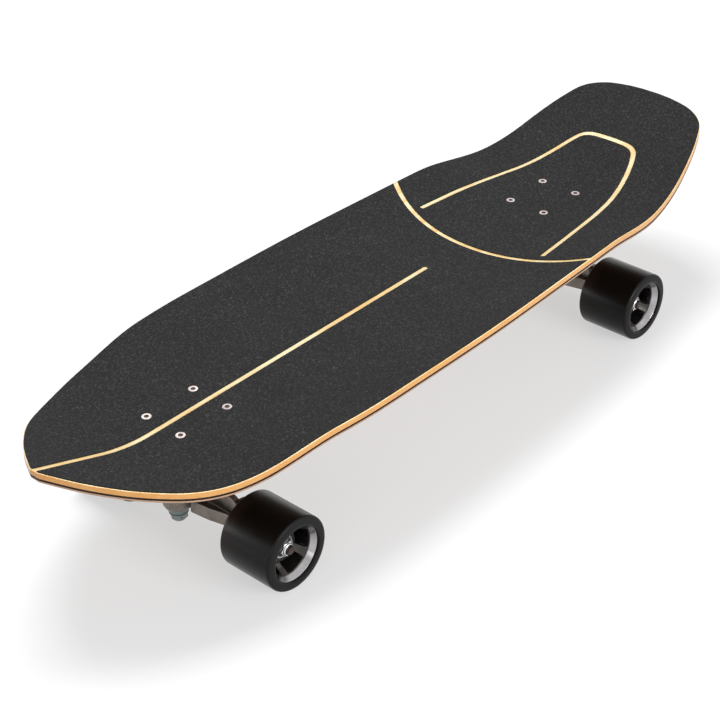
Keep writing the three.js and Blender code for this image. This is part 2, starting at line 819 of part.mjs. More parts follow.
// Rear baseplate: plate, tower down to the kingpin's seat, and the leg with the pivot cup's bore
function makeRearBase() {
  const centre = -rearAxleSet;
  const seat = stackLevels().washerTop;
  const boss = bushingDiameter / 2 + cupBossWall;
  const plateLow = truckHeight - plateThickness;
  const tip = pivotPoint();
  const back = tip.x - cupLength - cupBossWall;
  const arch = seat + kingpinFloor + kingpinHeadHeight;
  const tower = solid(sideways([
    [ringOffset + boss, seat + kingpinFloor], [centre + plateLength / 2 - plateCorner, plateLow + overrun],
    [back + cupBossWall, plateLow + overrun], [back, arch], [tip.x + cupLength / 3, arch],
    [ringOffset - boss, seat + 2 * kingpinFloor], [ringOffset - boss, seat + kingpinFloor],
  ], towerWidth));
  const body = cut(
    union(
      topPlate(centre),
      tower,
      post(ringOffset, 0, seat, plateLow + overrun, 2 * boss, roundPart),
      pivotLeg(arch + overrun),
    ),
    cupBore(),
    kingpinHole(),
    ...plateHoles(centre),
  );
  return piece('rear_baseplate', body, 'cast');
}

// Height of the slanted face between the front base and its arm
function slantHeight(x) {
  const slope = Math.tan(armTilt);
  const headTop = stackLevels().washerTop + kingpinFloor + kingpinHeadHeight;
  return headTop + armGap + (kingpinHeadDiameter / 2 + ringOffset - x) * slope;
}

function armPivot() {
  return at(-armPivotBack, 0, slantHeight(-armPivotBack));
}

// Places a geometry made in the arm's own frame: Z along the swing axis, X down the slant
function onSlant(geometry) {
  const pivot = armPivot();
  return geometry.rotateY(armTilt).translate(pivot.x, pivot.y, pivot.z);
}

function slantRing(outer, inner, low, high) {
  const profile = inner > 0 ? tube(outer / 2, inner / 2, low, high)
    : [[0, low], [outer / 2, low], [outer / 2, high], [0, high]];
  return solid(onSlant(turnedUp(profile, roundPart)));
}

function springRoom() {
  const wide = springDiameter + 2 * springClearance;
  const long = springLength + 2 * springClearance;
  return solid(onSlant(new THREE.BoxGeometry(wide, long, wide).translate(springForward, 0, 0)));
}

// Front base: plate and slanted wedge, with the arm's bolt, thrust bearing and spring let into it
function makeFrontBase() {
  const centre = -frontAxleSet;
  const back = centre - plateLength / 2;
  const plateLow = truckHeight - plateThickness;
  const wedge = solid(sideways([
    [wedgeNose, slantHeight(wedgeNose)], [wedgeNose + cupBossWall, plateLow + overrun],
    [back, plateLow + overrun], [back, slantHeight(back)],
  ], wedgeWidth));
  const body = cut(
    union(topPlate(centre), wedge),
    slantRing(armBoltDiameter + 2 * headClearance, 0, -truckHeight, truckHeight),
    slantRing(armBoltHeadDiameter + 2 * swingClearance, 0, armBoltHeadSeat, truckHeight),
    slantRing(thrustBearingDiameter + 2 * pinClearance, 0, -overrun, thrustBearingThickness / 2),
    springRoom(),
    ...plateHoles(centre),
  );
  return piece('front_base', body, 'cast');
}

// Plan outline of the arm: a wide round end at the pivot, a narrower one at the kingpin
function armOutline() {
  const reach = (ringOffset + armPivotBack) / Math.cos(armTilt);
  const [big, small] = [armPivotEndDiameter / 2, armKingpinEndDiameter / 2];
  const lean = Math.asin((big - small) / reach);
  const shape = new THREE.Shape();
  shape.absarc(0, 0, big, Math.PI / 2 - lean, 3 * Math.PI / 2 + lean);
  shape.absarc(reach, 0, small, -Math.PI / 2 + lean, Math.PI / 2 - lean);
  return shape;
}

// Swing arm: slanted bar with a boss for the kingpin and a leg for the pivot cup
function makeArm() {
  const options = { depth: armThickness, bevelEnabled: false, curveSegments: roundPart / 2 };
  const bar = new THREE.ExtrudeGeometry(armOutline(), options).translate(0, 0, -armGap - armThickness);
  const seat = stackLevels().washerTop;
  const middle = (x) => slantHeight(x) - armGap - armThickness / 2;
  const face = armKingpinEndDiameter + 2 * cupBossWall;
  const bearing = thrustBearingDiameter + 2 * swingClearance;
  const body = cut(
    union(
      solid(onSlant(bar)),
      post(ringOffset, 0, seat, middle(ringOffset), bushingDiameter + 2 * cupBossWall, roundPart),
      pivotLeg(middle(pivotPoint().x)),
    ),
    post(ringOffset, 0, -truckHeight, seat, face, roundPart),
    slantRing(armBoltDiameter + 2 * pinClearance, 0, -armGap - armBoltInArm, overrun),
    slantRing(bearing, 0, -thrustBearingThickness / 2 - pinClearance, overrun),
    cupBore(),
    kingpinHole(),
    springRoom(),
  );
  return piece('swing_arm', body, 'cast');
}

function makeArmBolt() {
  const low = -armGap - armBoltInArm + pinClearance;
  const high = armBoltHeadSeat + pinClearance;
  const shank = slantRing(armBoltDiameter, 0, low, high + pinClearance);
  const across = armBoltHeadDiameter;
  const head = rod(at(0, 0, high), at(0, 0, high + armBoltHeadHeight), across, across, hexSides);
  return piece('arm_pivot_bolt', shank.add(solid(onSlant(head))), 'steel');
}

function makeThrustBearing() {
  const half = thrustBearingThickness / 2 - pinClearance;
  const ring = slantRing(thrustBearingDiameter, thrustBearingBore, -half, half);
  return piece('arm_thrust_bearing', ring, 'steel');
}

// Centring spring: a helix lying across the slant, half in the base and half in the arm
function makeSpring() {
  const radius = (springDiameter - springWire) / 2;
  const length = springLength - springWire;
  const curve = new THREE.Curve();
  curve.getPoint = (share) => {
    const angle = 2 * Math.PI * springTurns * share;
    return at(springForward + radius * Math.cos(angle), (share - 1 / 2) * length, radius * Math.sin(angle));
  };
  const section = new THREE.Shape();
  section.absarc(0, 0, springWire / 2, 0, 2 * Math.PI);
  const ring = new THREE.Shape(section.getSpacedPoints(coilSides).slice(0, coilSides));
  const options = { steps: springTurns * coilSteps, extrudePath: curve, bevelEnabled: false };
  const coil = onSlant(new THREE.ExtrudeGeometry(ring, options));
  return piece('centring_spring', solid(coil), 'spring');
}

function arcPoints(radius, centre, from, to) {
  return Array.from({ length: arcSteps + 1 }, (_, step) => {
    const angle = THREE.MathUtils.lerp(from, to, step / arcSteps);
    return [centre[0] + radius * Math.cos(angle), centre[1] + radius * Math.sin(angle)];
  });
}

function makeTyre(name, side) {
  const half = wheelWidth / 2;
  const [outer, bore] = [wheelDiameter / 2, coreDiameter / 2 + coreFit];
  const step = -coreDepthInboard - coreFit;
  const profile = [
    [bore, half], ...arcPoints(tyreLip, [outer - tyreLip, half - tyreLip], Math.PI / 2, 0),
    ...arcPoints(tyreLip, [outer - tyreLip, tyreLip - half], 0, -Math.PI / 2),
    [tyreInnerBore / 2, -half], [tyreInnerBore / 2, step], [bore, step], [bore, half],
  ].map(([radius, place]) => [radius, side * place]);
  return piece(name, solid(turned(profile, roundWheel)), 'tyre');
}

// Windows between the spokes, as ring sectors running right through the core
function coreWindows() {
  const pitch = 2 * Math.PI / windowCount;
  const gap = THREE.MathUtils.degToRad(windowGapDegrees) / 2;
  const options = { depth: 2 * wheelWidth, bevelEnabled: false, curveSegments: arcSteps };
  return Array.from({ length: windowCount }, (_, index) => {
    const [from, to] = [index * pitch + gap, (index + 1) * pitch - gap];
    const shape = new THREE.Shape();
    shape.absarc(0, 0, windowOuterDiameter / 2, from, to);
    shape.absarc(0, 0, windowInnerDiameter / 2, to, from, true);
    return solid(new THREE.ExtrudeGeometry(shape, options).translate(0, 0, -wheelWidth).rotateX(Math.PI / 2));
  });
}

// Spoked core: rim drum, dished face, windows and a hub with two bearing seats
function makeCore(name, side) {
  const face = wheelWidth / 2 - coreRecess;
  const rim = coreDiameter / 2;
  const inside = rim - coreRim;
  const seat = bearingDiameter / 2 + bearingFit;
  const shoulder = bearingDiameter / 2 - bearingShoulder;
  const half = bearingSpacing / 2;
  const seatEnd = half + bearingWidth;
  const hub = hubDiameter / 2;
  const floor = face - dishDepth;
  const profile = [
    [seat, seatEnd], [hub, seatEnd], [hub, floor], [dishInnerDiameter / 2, floor], [inside, face - coreRim],
    [inside, face], [rim, face], [rim, -coreDepthInboard], [inside, -coreDepthInboard],
    [hub, floor - webThickness], [hub, -seatEnd], [seat, -seatEnd], [seat, -half], [shoulder, -half],
    [shoulder, half], [seat, half], [seat, seatEnd],
  ].map(([radius, place]) => [radius, side * place]);
  return piece(name, cut(solid(turned(profile, roundCore)), ...coreWindows()), 'core');
}

function makeBearing(name) {
  const half = bearingWidth / 2;
  const profile = tube(bearingDiameter / 2, bearingBore / 2 + boreFit, -half, half);
  return piece(name, solid(turned(profile, roundPart)), 'steel');
}

function makeAxleNut(name, side) {
  const across = axleNutAcross / Math.cos(Math.PI / hexSides);
  const collarStart = axleNutHeight - axleNutCollar;
  const hex = solid(rod(at(0, 0, 0), at(0, side * collarStart, 0), across, across, hexSides));
  const [start, end] = [collarStart - axleNutCollar, axleNutHeight].map((place) => at(0, side * place, 0));
  const collar = solid(rod(start, end, axleNutAcross, axleNutAcross - axleNutCollar, roundSmall));
  return piece(name, cut(hex.add(collar), axleBore(wheelWidth)), 'steel');
}

// One wheel with its bearings and nut, at its end of the axle
function makeWheel(place, side) {
  const wheel = new THREE.Group();
  const seat = (bearingSpacing + bearingWidth) / 2;
  const centre = hangerLength / 2 + sideGap + bearingWidth + bearingSpacing / 2;
  const outer = makeBearing(`${place}_bearing_outer`);
  outer.position.y = side * seat;
  const inner = makeBearing(`${place}_bearing_inner`);
  inner.position.y = -side * seat;
  const nut = makeAxleNut(`${place}_axle_nut`, side);
  nut.position.y = side * (bearingSpacing / 2 + bearingWidth + sideGap);
  wheel.add(makeTyre(`${place}_tyre`, side), makeCore(`${place}_core`, side), outer, inner, nut);
  wheel.position.y = side * centre;
  return wheel;
}

// Everything both trucks share, about the axle's centre
function makeRunningGear(end) {
  const gear = new THREE.Group();
  gear.add(
    makeHanger(`${end}_hanger`),
    makeAxle(`${end}_axle`),
    makePivotCup(`${end}_pivot_cup`),
    kingpinStack(end),
    makeWheel(`${end}_left`, 1),
    makeWheel(`${end}_right`, -1),
  );
  return gear;
}

function makeFrontTruck() {
  const truck = makeRunningGear('front');
  truck.add(makeFrontBase(), makeArm(), makeArmBolt(), makeThrustBearing(), makeSpring());
  truck.position.set(frontTruckX + frontAxleSet, 0, axleZ);
  return truck;
}

function makeRearTruck() {
  const truck = makeRunningGear('rear');
  truck.add(makeRearBase());
  truck.position.set(rearTruckX + rearAxleSet, 0, axleZ);
  return truck;
}

const board = new THREE.Group();
board.add(...makeDeck(), ...makeBolts(), makeFrontTruck(), makeRearTruck());

export default board;
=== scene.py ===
# %% [markdown]
# Surf skateboard
# A surf skateboard is a wide, kicked deck on two trucks. The front truck swings on a sprung arm, so the
# board can be pumped along without pushing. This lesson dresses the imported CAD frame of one: each CAD
# node stays, or is replaced by a finer piece that rides on the same body. All sizes are in millimetres
# in the text and become metres only when a mesh is written.

# %% Load the frame
import math

import bmesh
import bpy
import numpy as np
from mathutils import Matrix, Vector


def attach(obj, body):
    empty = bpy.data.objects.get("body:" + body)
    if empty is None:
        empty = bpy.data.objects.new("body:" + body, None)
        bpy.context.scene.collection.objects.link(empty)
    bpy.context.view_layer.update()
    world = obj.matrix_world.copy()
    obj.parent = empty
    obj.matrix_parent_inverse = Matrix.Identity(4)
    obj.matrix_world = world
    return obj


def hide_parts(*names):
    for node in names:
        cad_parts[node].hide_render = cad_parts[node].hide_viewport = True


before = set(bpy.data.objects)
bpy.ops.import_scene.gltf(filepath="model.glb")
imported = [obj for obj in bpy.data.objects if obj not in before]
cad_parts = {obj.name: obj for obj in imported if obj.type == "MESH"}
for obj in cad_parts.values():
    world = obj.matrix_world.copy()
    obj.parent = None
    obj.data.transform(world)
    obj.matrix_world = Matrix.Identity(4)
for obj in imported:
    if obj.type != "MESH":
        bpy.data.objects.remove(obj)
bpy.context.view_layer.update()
scene = bpy.context.scene
MM = 0.001

# %% [markdown]
# The camera comes first. It was solved from the eight deck bolts, which sit on a standard pattern, and
# from the deck's edges. A Blender camera looks along its own minus Z, so the third column of its turn
# is the direction back from the board to the lens.

# %% Camera
view_azimuth, view_elevation, view_roll = (math.radians(a) for a in (132.09, 33.33, -0.96))
view_target, view_distance = Vector((10, -32.8, 35)) * MM, 1699.7 * MM
photo_side, focal_length_px, sensor_width = 720, 1757.7, 36
near_clip, far_clip = 0.05, 50


def view_turn(azimuth, elevation, roll):
    back = Vector((
        math.sin(azimuth) * math.cos(elevation),
        -math.cos(azimuth) * math.cos(elevation),
        math.sin(elevation),
    ))
    right = Vector((0, 0, 1)).cross(back).normalized()
    level = Matrix((right, back.cross(right), back)).transposed()
    return level @ Matrix.Rotation(roll, 3, "Z")


camera = bpy.data.objects.new("camera", bpy.data.cameras.new("camera"))
scene.collection.objects.link(camera)
turn = view_turn(view_azimuth, view_elevation, view_roll)
camera.matrix_world = Matrix.Translation(view_target + turn.col[2] * view_distance) @ turn.to_4x4()
camera.data.sensor_width = sensor_width
camera.data.lens = focal_length_px / photo_side * sensor_width
camera.data.clip_start, camera.data.clip_end = near_clip, far_clip
scene.camera = camera
scene.view_settings.view_transform = "Standard"
print(f"camera lens {camera.data.lens:.1f} mm")

# %% [markdown]
# Materials, the world and Geometry Nodes are all trees of nodes. One helper adds a node, sets it up and
# links it in a single call, so each tree below reads as a recipe from its texture to its output.

# %% Node helpers
def node(tree, kind, inputs=None, **settings):
    """A node with its attributes set by name. Its inputs, by name or number, take a value or a link."""
    made = tree.nodes.new(kind)
    for name, value in settings.items():
        setattr(made, name, value)
    for socket, value in (inputs or {}).items():
        if isinstance(value, bpy.types.NodeSocket):
            tree.links.new(value, made.inputs[socket])
        else:
            made.inputs[socket].default_value = value
    return made


def reckoned(tree, operation, first, second=0.0):
    return node(tree, "ShaderNodeMath", {0: first, 1: second}, operation=operation).outputs[0]


def smooth_range(tree, value, start, end, low, high):
    """Runs from low to high while the value goes from start to end."""
    return node(tree, "ShaderNodeMapRange", {
        "Value": value, "From Min": start, "From Max": end, "To Min": low, "To Max": high,
    }, interpolation_type="SMOOTHSTEP").outputs["Result"]


def empty_material(name):
    material = bpy.data.materials.new(name)
    material.use_nodes = True
    material.node_tree.nodes.clear()
    return material, material.node_tree


print("node helpers ready")

# %% [markdown]
# A product photo on white has a pale sweep under the object and large soft lamps. The floor here is
# plain and diffuse, with a little light of its own that only the camera and the shiny parts see, so it
# reads as white paper but keeps the board's soft shadow. The world does the same behind it.

# %% Floor
floor_tone, floor_glow, floor_radius, floor_drop = (0.395, 0.40, 0.405), 0.53, 7.0, 0.0004
shadow_reach, white_reach = 0.8, 2.4


def seen_rays(tree):
    """One for the rays that show a backdrop, straight or in a mirror, and nought for those that light."""
    path = node(tree, "ShaderNodeLightPath").outputs
    mirrored = reckoned(tree, "MAXIMUM", path["Is Glossy Ray"], path["Is Transmission Ray"])
    return reckoned(tree, "MAXIMUM", path["Is Camera Ray"], mirrored)


def floor_material():
    """Paper whose glow grows to full white away from the board, where no shadow falls."""
    material, tree = empty_material("studio_floor")
    paper = node(tree, "ShaderNodeBsdfDiffuse", {"Color": (*floor_tone, 1)})
    place = node(tree, "ShaderNodeTexCoord")
    reach = node(tree, "ShaderNodeVectorMath", {0: place.outputs["Object"]}, operation="LENGTH")
    level = smooth_range(tree, reach.outputs["Value"], shadow_reach, white_reach, floor_glow, 1.0)
    seen = reckoned(tree, "MULTIPLY", seen_rays(tree), level)
    glow = node(tree, "ShaderNodeEmission", {"Color": (1, 1, 1, 1), "Strength": seen})
    both = node(tree, "ShaderNodeAddShader", {0: paper.outputs[0], 1: glow.outputs[0]})
    node(tree, "ShaderNodeOutputMaterial", {"Surface": both.outputs[0]})
    return material


bpy.ops.mesh.primitive_circle_add(
    vertices=96, radius=floor_radius, fill_type="NGON", location=(0, 0, -floor_drop))
floor = bpy.context.object
floor.name = "studio_floor_sheet"
floor.data.materials.append(floor_material())
print(f"floor {2 * floor_radius:.0f} m across")

# %% [markdown]
# The lamps are large and soft, like the boxes of a photo studio: two strong ones from above and from
# the board's left, and two weak ones in front of the nose.

# %% World and lamps
world_level = 0.36
lamps = [
    ("overhead_box", (-0.2, -0.6, 2.25), (0, 0, 0.1), (1.2, 0.85), 53),
    ("nose_box", (2.3, 0.7, 0.95), (0.2, 0, 0.08), (1.4, 0.8), 5),
    ("side_box", (0.0, 2.5, 1.1), (0.1, 0, 0.05), (1.6, 0.9), 43),
    ("low_card", (1.6, -1.6, 0.45), (0.25, 0, 0.05), (0.9, 0.5), 5),
]

scene.world = bpy.data.worlds.new("studio")
scene.world.use_nodes = True
sky_tree = scene.world.node_tree
sky_tree.nodes.clear()
sky_level = node(sky_tree, "ShaderNodeMix", {0: seen_rays(sky_tree), 2: world_level, 3: 1.0})
sky = node(sky_tree, "ShaderNodeBackground", {"Color": (1, 1, 1, 1), "Strength": sky_level.outputs[0]})
node(sky_tree, "ShaderNodeOutputWorld", {"Surface": sky.outputs[0]})

for name, place, target, size, power in lamps:
    lamp = bpy.data.lights.new(name, "AREA")
    lamp.shape = "RECTANGLE"
    lamp.size, lamp.size_y = size
    lamp.energy = power
    box = bpy.data.objects.new(name, lamp)
    box.location = place
    box.rotation_euler = (Vector(place) - Vector(target)).to_track_quat("Z", "Y").to_euler()
    scene.collection.objects.link(box)
print("world and", len(lamps), "soft lamps")

# %% [markdown]
# Every piece is a mesh whose place is in its vertices, with its object at the origin. These helpers
# write such a mesh and turn its live modifiers into plain mesh, which the export needs.

# %% Mesh helpers
merge_reach, sliver = 0.002 * MM, 0.001 * MM


def linked(name, mesh):
    piece = bpy.data.objects.new(name, mesh)
    scene.collection.objects.link(piece)
    return piece


def new_piece(name, corners, faces, smooth=True):
    """An object from corners in millimetres. Doubles are merged and faces turned outwards."""
    mesh = bpy.data.meshes.new(name)
    mesh.from_pydata([tuple(float(c) * MM for c in corner) for corner in corners], [], faces)
    work = bmesh.new()
    work.from_mesh(mesh)
    bmesh.ops.remove_doubles(work, verts=work.verts, dist=merge_reach)
    bmesh.ops.dissolve_degenerate(work, edges=work.edges, dist=sliver)
    bmesh.ops.recalc_face_normals(work, faces=work.faces)
    work.to_mesh(mesh)
    work.free()
    mesh.shade_smooth() if smooth else mesh.shade_flat()
    return linked(name, mesh)


def bake(piece):
    """Turns the live modifiers into plain mesh."""
    graph = bpy.context.evaluated_depsgraph_get()
    mesh = bpy.data.meshes.new_from_object(piece.evaluated_get(graph))
    piece.modifiers.clear()
    piece.data = mesh
    return piece


def cleared(pieces):
    for piece in pieces:
        bpy.data.objects.remove(piece)


print("meshes can be written and baked")

# %% [markdown]
# Most solids start plain and are then worked as in a shop: cut with other solids, joined, melted into
# one skin as in a mould, and shaded with crisp edges.

# %% Carving and joining
def carve(piece, cutters, operation="DIFFERENCE"):
    for cutter in cutters:
        modifier = piece.modifiers.new("carve", "BOOLEAN")
        modifier.operation, modifier.solver, modifier.object = operation, "EXACT", cutter
    bake(piece)
    cleared(cutters)
    return piece


def joined(name, parts):
    """One object from several, with their meshes side by side and the first one's materials."""
    work = bmesh.new()
    for part in parts:
        work.from_mesh(part.data)
    mesh = bpy.data.meshes.new(name)
    work.to_mesh(mesh)
    work.free()
    for material in parts[0].data.materials:
        mesh.materials.append(material)
    cleared(parts)
    return linked(name, mesh)


def cast_skin(piece, grain, rounds=5):
    """Melts overlapping solids into one skin with the soft inner corners of a casting."""
    remesh = piece.modifiers.new("skin", "REMESH")
    remesh.mode, remesh.voxel_size = "VOXEL", grain * MM
    soften = piece.modifiers.new("soften", "SMOOTH")
    soften.factor, soften.iterations = 0.5, rounds
    return bake(piece)


def crisp(piece, degrees=35):
    """Smooth shading with sharp edges where faces meet at more than the angle."""
    piece.data.shade_smooth()
    piece.data.set_sharp_from_angle(angle=math.radians(degrees))
    return piece


print("meshes can be carved, joined and melted")

# %% [markdown]
# A form is made about its own origin, then moved, copied and painted. Last it is handed to the frame:
# what it rides on, which CAD nodes it stands for, and its finish where it has none yet.

# %% Placing and mounting
def placed(piece, x=0, y=0, z=0, turn=None):
    """Moves a piece's mesh, in millimetres, after an optional turn about its own origin."""
    move = Matrix.Translation(Vector((x, y, z)) * MM)
    piece.data.transform(move @ turn.to_4x4() if turn else move)
    piece.data.update()
    return piece


def tipped(piece, quarters=1):
    """Turns a piece's mesh about X by quarters of a turn, so that one turned about Y stands up."""
    piece.data.transform(Matrix.Rotation(quarters * math.pi / 2, 4, "X"))
    return piece


def twin(piece, name):
    return linked(name, piece.data.copy())


def painted(piece, finishes, pick):
    """Gives a piece its finishes, and each face the one that pick chooses from its middle and normal."""
    for finish in finishes:
        piece.data.materials.append(finish)
    for face in piece.data.polygons:
        face.material_index = int(pick(face.center / MM, face.normal))
    return piece


def mounted(piece, body, nodes, finish=None):
    """Hands a finished piece to the frame, with its finish unless it is painted already."""
    if finish:
        piece.data.materials.append(finish)
    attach(piece, body)
    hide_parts(*nodes)
    return piece


print("pieces can be placed, painted and mounted")

# %% [markdown]
# Most parts of a truck and a wheel are turned on a lathe, sawn from plate or lofted, and so are these
# meshes: a profile turned about an axis, an outline given a height, or a skin over rings of corners.

# %% Turned, sawn and lofted forms
def turned(name, profile, segments=64, closed=False):
    """A body turned about Y from [radius, place] points, closed to a ring where the profile is a loop."""
    corners, faces = [], []
    count = len(profile)
    for step in range(segments):
        angle = 2 * math.pi * step / segments
        for radius, place in profile:
            corners.append((radius * math.sin(angle), place, radius * math.cos(angle)))
    for step in range(segments):
        near, far = step * count, (step + 1) % segments * count
        for index in range(count if closed else count - 1):
            after = (index + 1) % count
            faces.append((near + index, near + after, far + after, far + index))
    return new_piece(name, corners, faces)


def upright(name, profile, segments=64, closed=False):
    return tipped(turned(name, profile, segments, closed))


def drum(radius, low, high, segments=48, small=None):
    """A plain turned cylinder or cone about Z, mostly for carving."""
    profile = [(0, low), (radius, low), (radius if small is None else small, high), (0, high)]
    return upright("drum", profile, segments)


def prism(outline, low, high, name="prism"):
    """A plan outline standing from low to high."""
    count = len(outline)
    corners = [(x, y, low) for x, y in outline] + [(x, y, high) for x, y in outline]
    faces = [tuple(range(count)), tuple(range(2 * count - 1, count - 1, -1))]
    faces += [(i, (i + 1) % count, (i + 1) % count + count, i + count) for i in range(count)]
    return new_piece(name, corners, faces, smooth=False)


def block(low_x, high_x, half_y, low, high):
    return prism([(low_x, -half_y), (high_x, -half_y), (high_x, half_y), (low_x, half_y)], low, high)


def side_prism(outline, width, name="side_prism"):
    """An outline in X and Z, as wide as given about the centre plane."""
    return tipped(prism(outline, -width / 2, width / 2, name))


def lofted(name, sections):
    """A skin over rings of corners of equal count, with its two ends capped."""
    count = len(sections[0])
    corners = [corner for section in sections for corner in section]
    faces = []
    for step in range(len(sections) - 1):
        for index in range(count):
            a, b = step * count + index, step * count + (index + 1) % count
            faces.append((a, b, b + count, a + count))
    faces += [tuple(range(count - 1, -1, -1)), tuple(range(len(corners) - count, len(corners)))]
    return new_piece(name, corners, faces)


print("turned, sawn and lofted forms ready")

# %% [markdown]
# Outlines are drawn from arcs, and where a line was read from the photo, from one smooth curve through
# a few points.

# %% Curves
def polar(angle, radius, centre=(0, 0)):
    return centre[0] + radius * math.cos(angle), centre[1] + radius * math.sin(angle)


def arc_points(centre, radius, start, end, steps):
    return [polar(angle, radius, centre) for angle in np.linspace(start, end, steps + 1)]


def arc(centre, radius, start, end, steps=8):
    """Points of an arc between two angles in degrees."""
    return arc_points(centre, radius, math.radians(start), math.radians(end), steps)


def smooth_path(points, count):
    """A centripetal Catmull-Rom curve through the points, evenly stepped from point to point."""
    points = np.array(points, float)
    whole = np.vstack([2 * points[0] - points[1], points, 2 * points[-1] - points[-2]])
    found = []
    for share in np.linspace(0, len(points) - 1, count + 1):
        start = min(int(share), len(points) - 2)
        t = share - start
        p0, p1, p2, p3 = whole[start:start + 4]
        gaps = [math.sqrt(np.linalg.norm(b - a)) or 1 for a, b in ((p0, p1), (p1, p2), (p2, p3))]
        leave = (p1 - p0) / gaps[0] - (p2 - p0) / (gaps[0] + gaps[1]) + (p2 - p1) / gaps[1]
        reach = (p2 - p1) / gaps[1] - (p3 - p1) / (gaps[1] + gaps[2]) + (p3 - p2) / gaps[2]
        leave, reach = leave * gaps[1], reach * gaps[1]
        found.append(p1 + leave * t + (3 * (p2 - p1) - 2 * leave - reach) * t ** 2
                     + (2 * (p1 - p2) + leave + reach) * t ** 3)
    return np.array(found)


print("curves ready")

# %% [markdown]
# The deck is pressed from maple veneers in a mould, so its top and its underside follow one curved
# surface: flat under the rider, lifted along both edges (the concave) and bent up at the nose and the
# tail (the kicks). A function of the place gives that surface, and every layer is a sheet between two
# depths below it.

# %% The deck's surface
deck_length, deck_width, edge_trim = 850, 253, 0.9985
deck_top = 123.9
outline_shares = [
    (1, 0.035), (0.99, 0.1), (0.953, 0.305), (0.9, 0.51), (0.847, 0.647), (0.777, 0.775), (0.706, 0.86),
    (0.6, 0.928), (0.424, 0.989), (0.25, 1), (0, 0.999), (-0.25, 0.97), (-0.47, 0.934), (-0.62, 0.879),
    (-0.8, 0.772), (-0.906, 0.664), (-0.953, 0.58), (-0.982, 0.43), (-0.996, 0.23), (-1, 0.08),
]
outline_steps = 204
bolt_pitch = (53.98, 41.28)
truck_places = {"front": 264, "rear": -235}
nose_bend, nose_bend_length, nose_slope = truck_places["front"] + bolt_pitch[0] / 2 + 14, 54, 0.33
tail_bend, tail_bend_length, tail_slope = truck_places["rear"] - bolt_pitch[0] / 2 - 3, 70, 0.4
concave_lift, concave_end_lift, concave_before_truck, concave_fade = 12.4, 3.8, 56, 90
concave_power, concave_full_half = 2.4, 0.88 * deck_width / 2

deck_outline = smooth_path(
    [(a * deck_length / 2, b * edge_trim * deck_width / 2) for a, b in outline_shares], outline_steps)


def bend(past, length, slope):
    """Rise of a kick, an arc that runs into a straight slope."""
    past = np.maximum(past, 0)
    return np.where(past < length, slope * past ** 2 / (2 * length), slope * (past - length / 2))


def deck_height(x, y):
    """Height of the deck's top surface over a plan point."""
    x, y = np.asarray(x, float), np.asarray(y, float)
    half = np.interp(x, deck_outline[::-1, 0], deck_outline[::-1, 1])
    start = np.where(x > 0, truck_places["front"], -truck_places["rear"]) - concave_before_truck
    fade = np.clip((np.abs(x) - start) / concave_fade, 0, 1)
    lift = concave_lift + (concave_end_lift - concave_lift) * fade ** 2 * (3 - 2 * fade)
    rise = bend(x - nose_bend, nose_bend_length, nose_slope)
    rise = rise + bend(tail_bend - x, tail_bend_length, tail_slope)
    across = np.minimum(np.abs(y) / half, 1) * np.minimum(half / concave_full_half, 1)
    return deck_top + rise + lift * across ** concave_power


print(f"deck outline has {len(deck_outline)} rows, widest {2 * deck_outline[:, 1].max():.1f} mm")

# %% [markdown]
# A sheet is a grid of corners between the deck's two edges, with its rim stepped down from level to
# level. It is written flat and then draped, so each corner's depth below the surface stays known.

# %% Sheets on the surface
def sheet_rings(levels, columns):
    """Corners and faces of a sheet with the deck's outline. Each level is a depth and an edge inset."""
    rows = len(deck_outline)
    across = np.linspace(-1, 1, columns + 1)
    corners, faces, index = [], [], {}
    edge = [(0, c) for c in range(columns)] + [(r, columns) for r in range(rows - 1)]
    edge += [(rows - 1, c) for c in range(columns, 0, -1)] + [(r, 0) for r in range(rows - 1, 0, -1)]
    for level, (depth, inset) in enumerate(levels):
        whole = level in (0, len(levels) - 1)
        for row, column in [(r, c) for r in range(rows) for c in range(columns + 1)] if whole else edge:
            x, half = deck_outline[row]
            index[level, row, column] = len(corners)
            corners.append((x * (1 - 2 * inset / deck_length),
                            across[column] * half * (1 - 2 * inset / deck_width), -depth))
        if whole:
            for row in range(rows - 1):
                for column in range(columns):
                    around = ((0, 0), (0, 1), (1, 1), (1, 0))
                    faces.append(tuple(index[level, row + r, column + c] for r, c in around))
        if level:
            for here, there in zip(edge, edge[1:] + edge[:1]):
                faces.append((index[level - 1, *here], index[level, *here], index[level, *there],
                              index[level - 1, *there]))
    return corners, faces


def draped(piece):
    """Lays a flat sheet on the deck's surface, keeping each corner's depth in an attribute."""
    corners = np.empty(3 * len(piece.data.vertices))
    piece.data.vertices.foreach_get("co", corners)
    corners = corners.reshape(-1, 3) / MM
    depth = piece.data.attributes.new("depth", "FLOAT", "POINT")
    depth.data.foreach_set("value", corners[:, 2].copy())
    corners[:, 2] += deck_height(corners[:, 0], corners[:, 1])
    piece.data.vertices.foreach_set("co", (corners * MM).ravel())
    piece.data.update()
    return piece


def rounded_edge(depth, radius, steps=4, lower=False):
    """Levels of a rounded edge that starts at the depth, or ends there where it is the lower one."""
    levels = []
    for step in range(steps + 1):
        angle = math.pi / 2 * step / steps
        levels.append((depth + radius * (1 - math.cos(angle)), radius * (1 - math.sin(angle))))
    return [(2 * depth - d, inset) for d, inset in reversed(levels)] if lower else levels


print("sheets can be laid on the deck")

# %% [markdown]
# Finishes are built from the same few parts: a noise, a ramp of colours, a blend and a relief. Each
# gets a helper, and the principled shader ends the tree.

# %% Texture helpers
def object_place(tree, scale=(1, 1, 1)):
    place = node(tree, "ShaderNodeTexCoord")
    return node(tree, "ShaderNodeMapping", {"Vector": place.outputs["Object"], "Scale": scale}).outputs[0]


def noise(tree, vector, scale, detail=4, roughness=0.6, distortion=0.0):
    return node(tree, "ShaderNodeTexNoise", {
        "Vector": vector, "Scale": scale, "Detail": detail, "Roughness": roughness,
        "Distortion": distortion}).outputs[0]


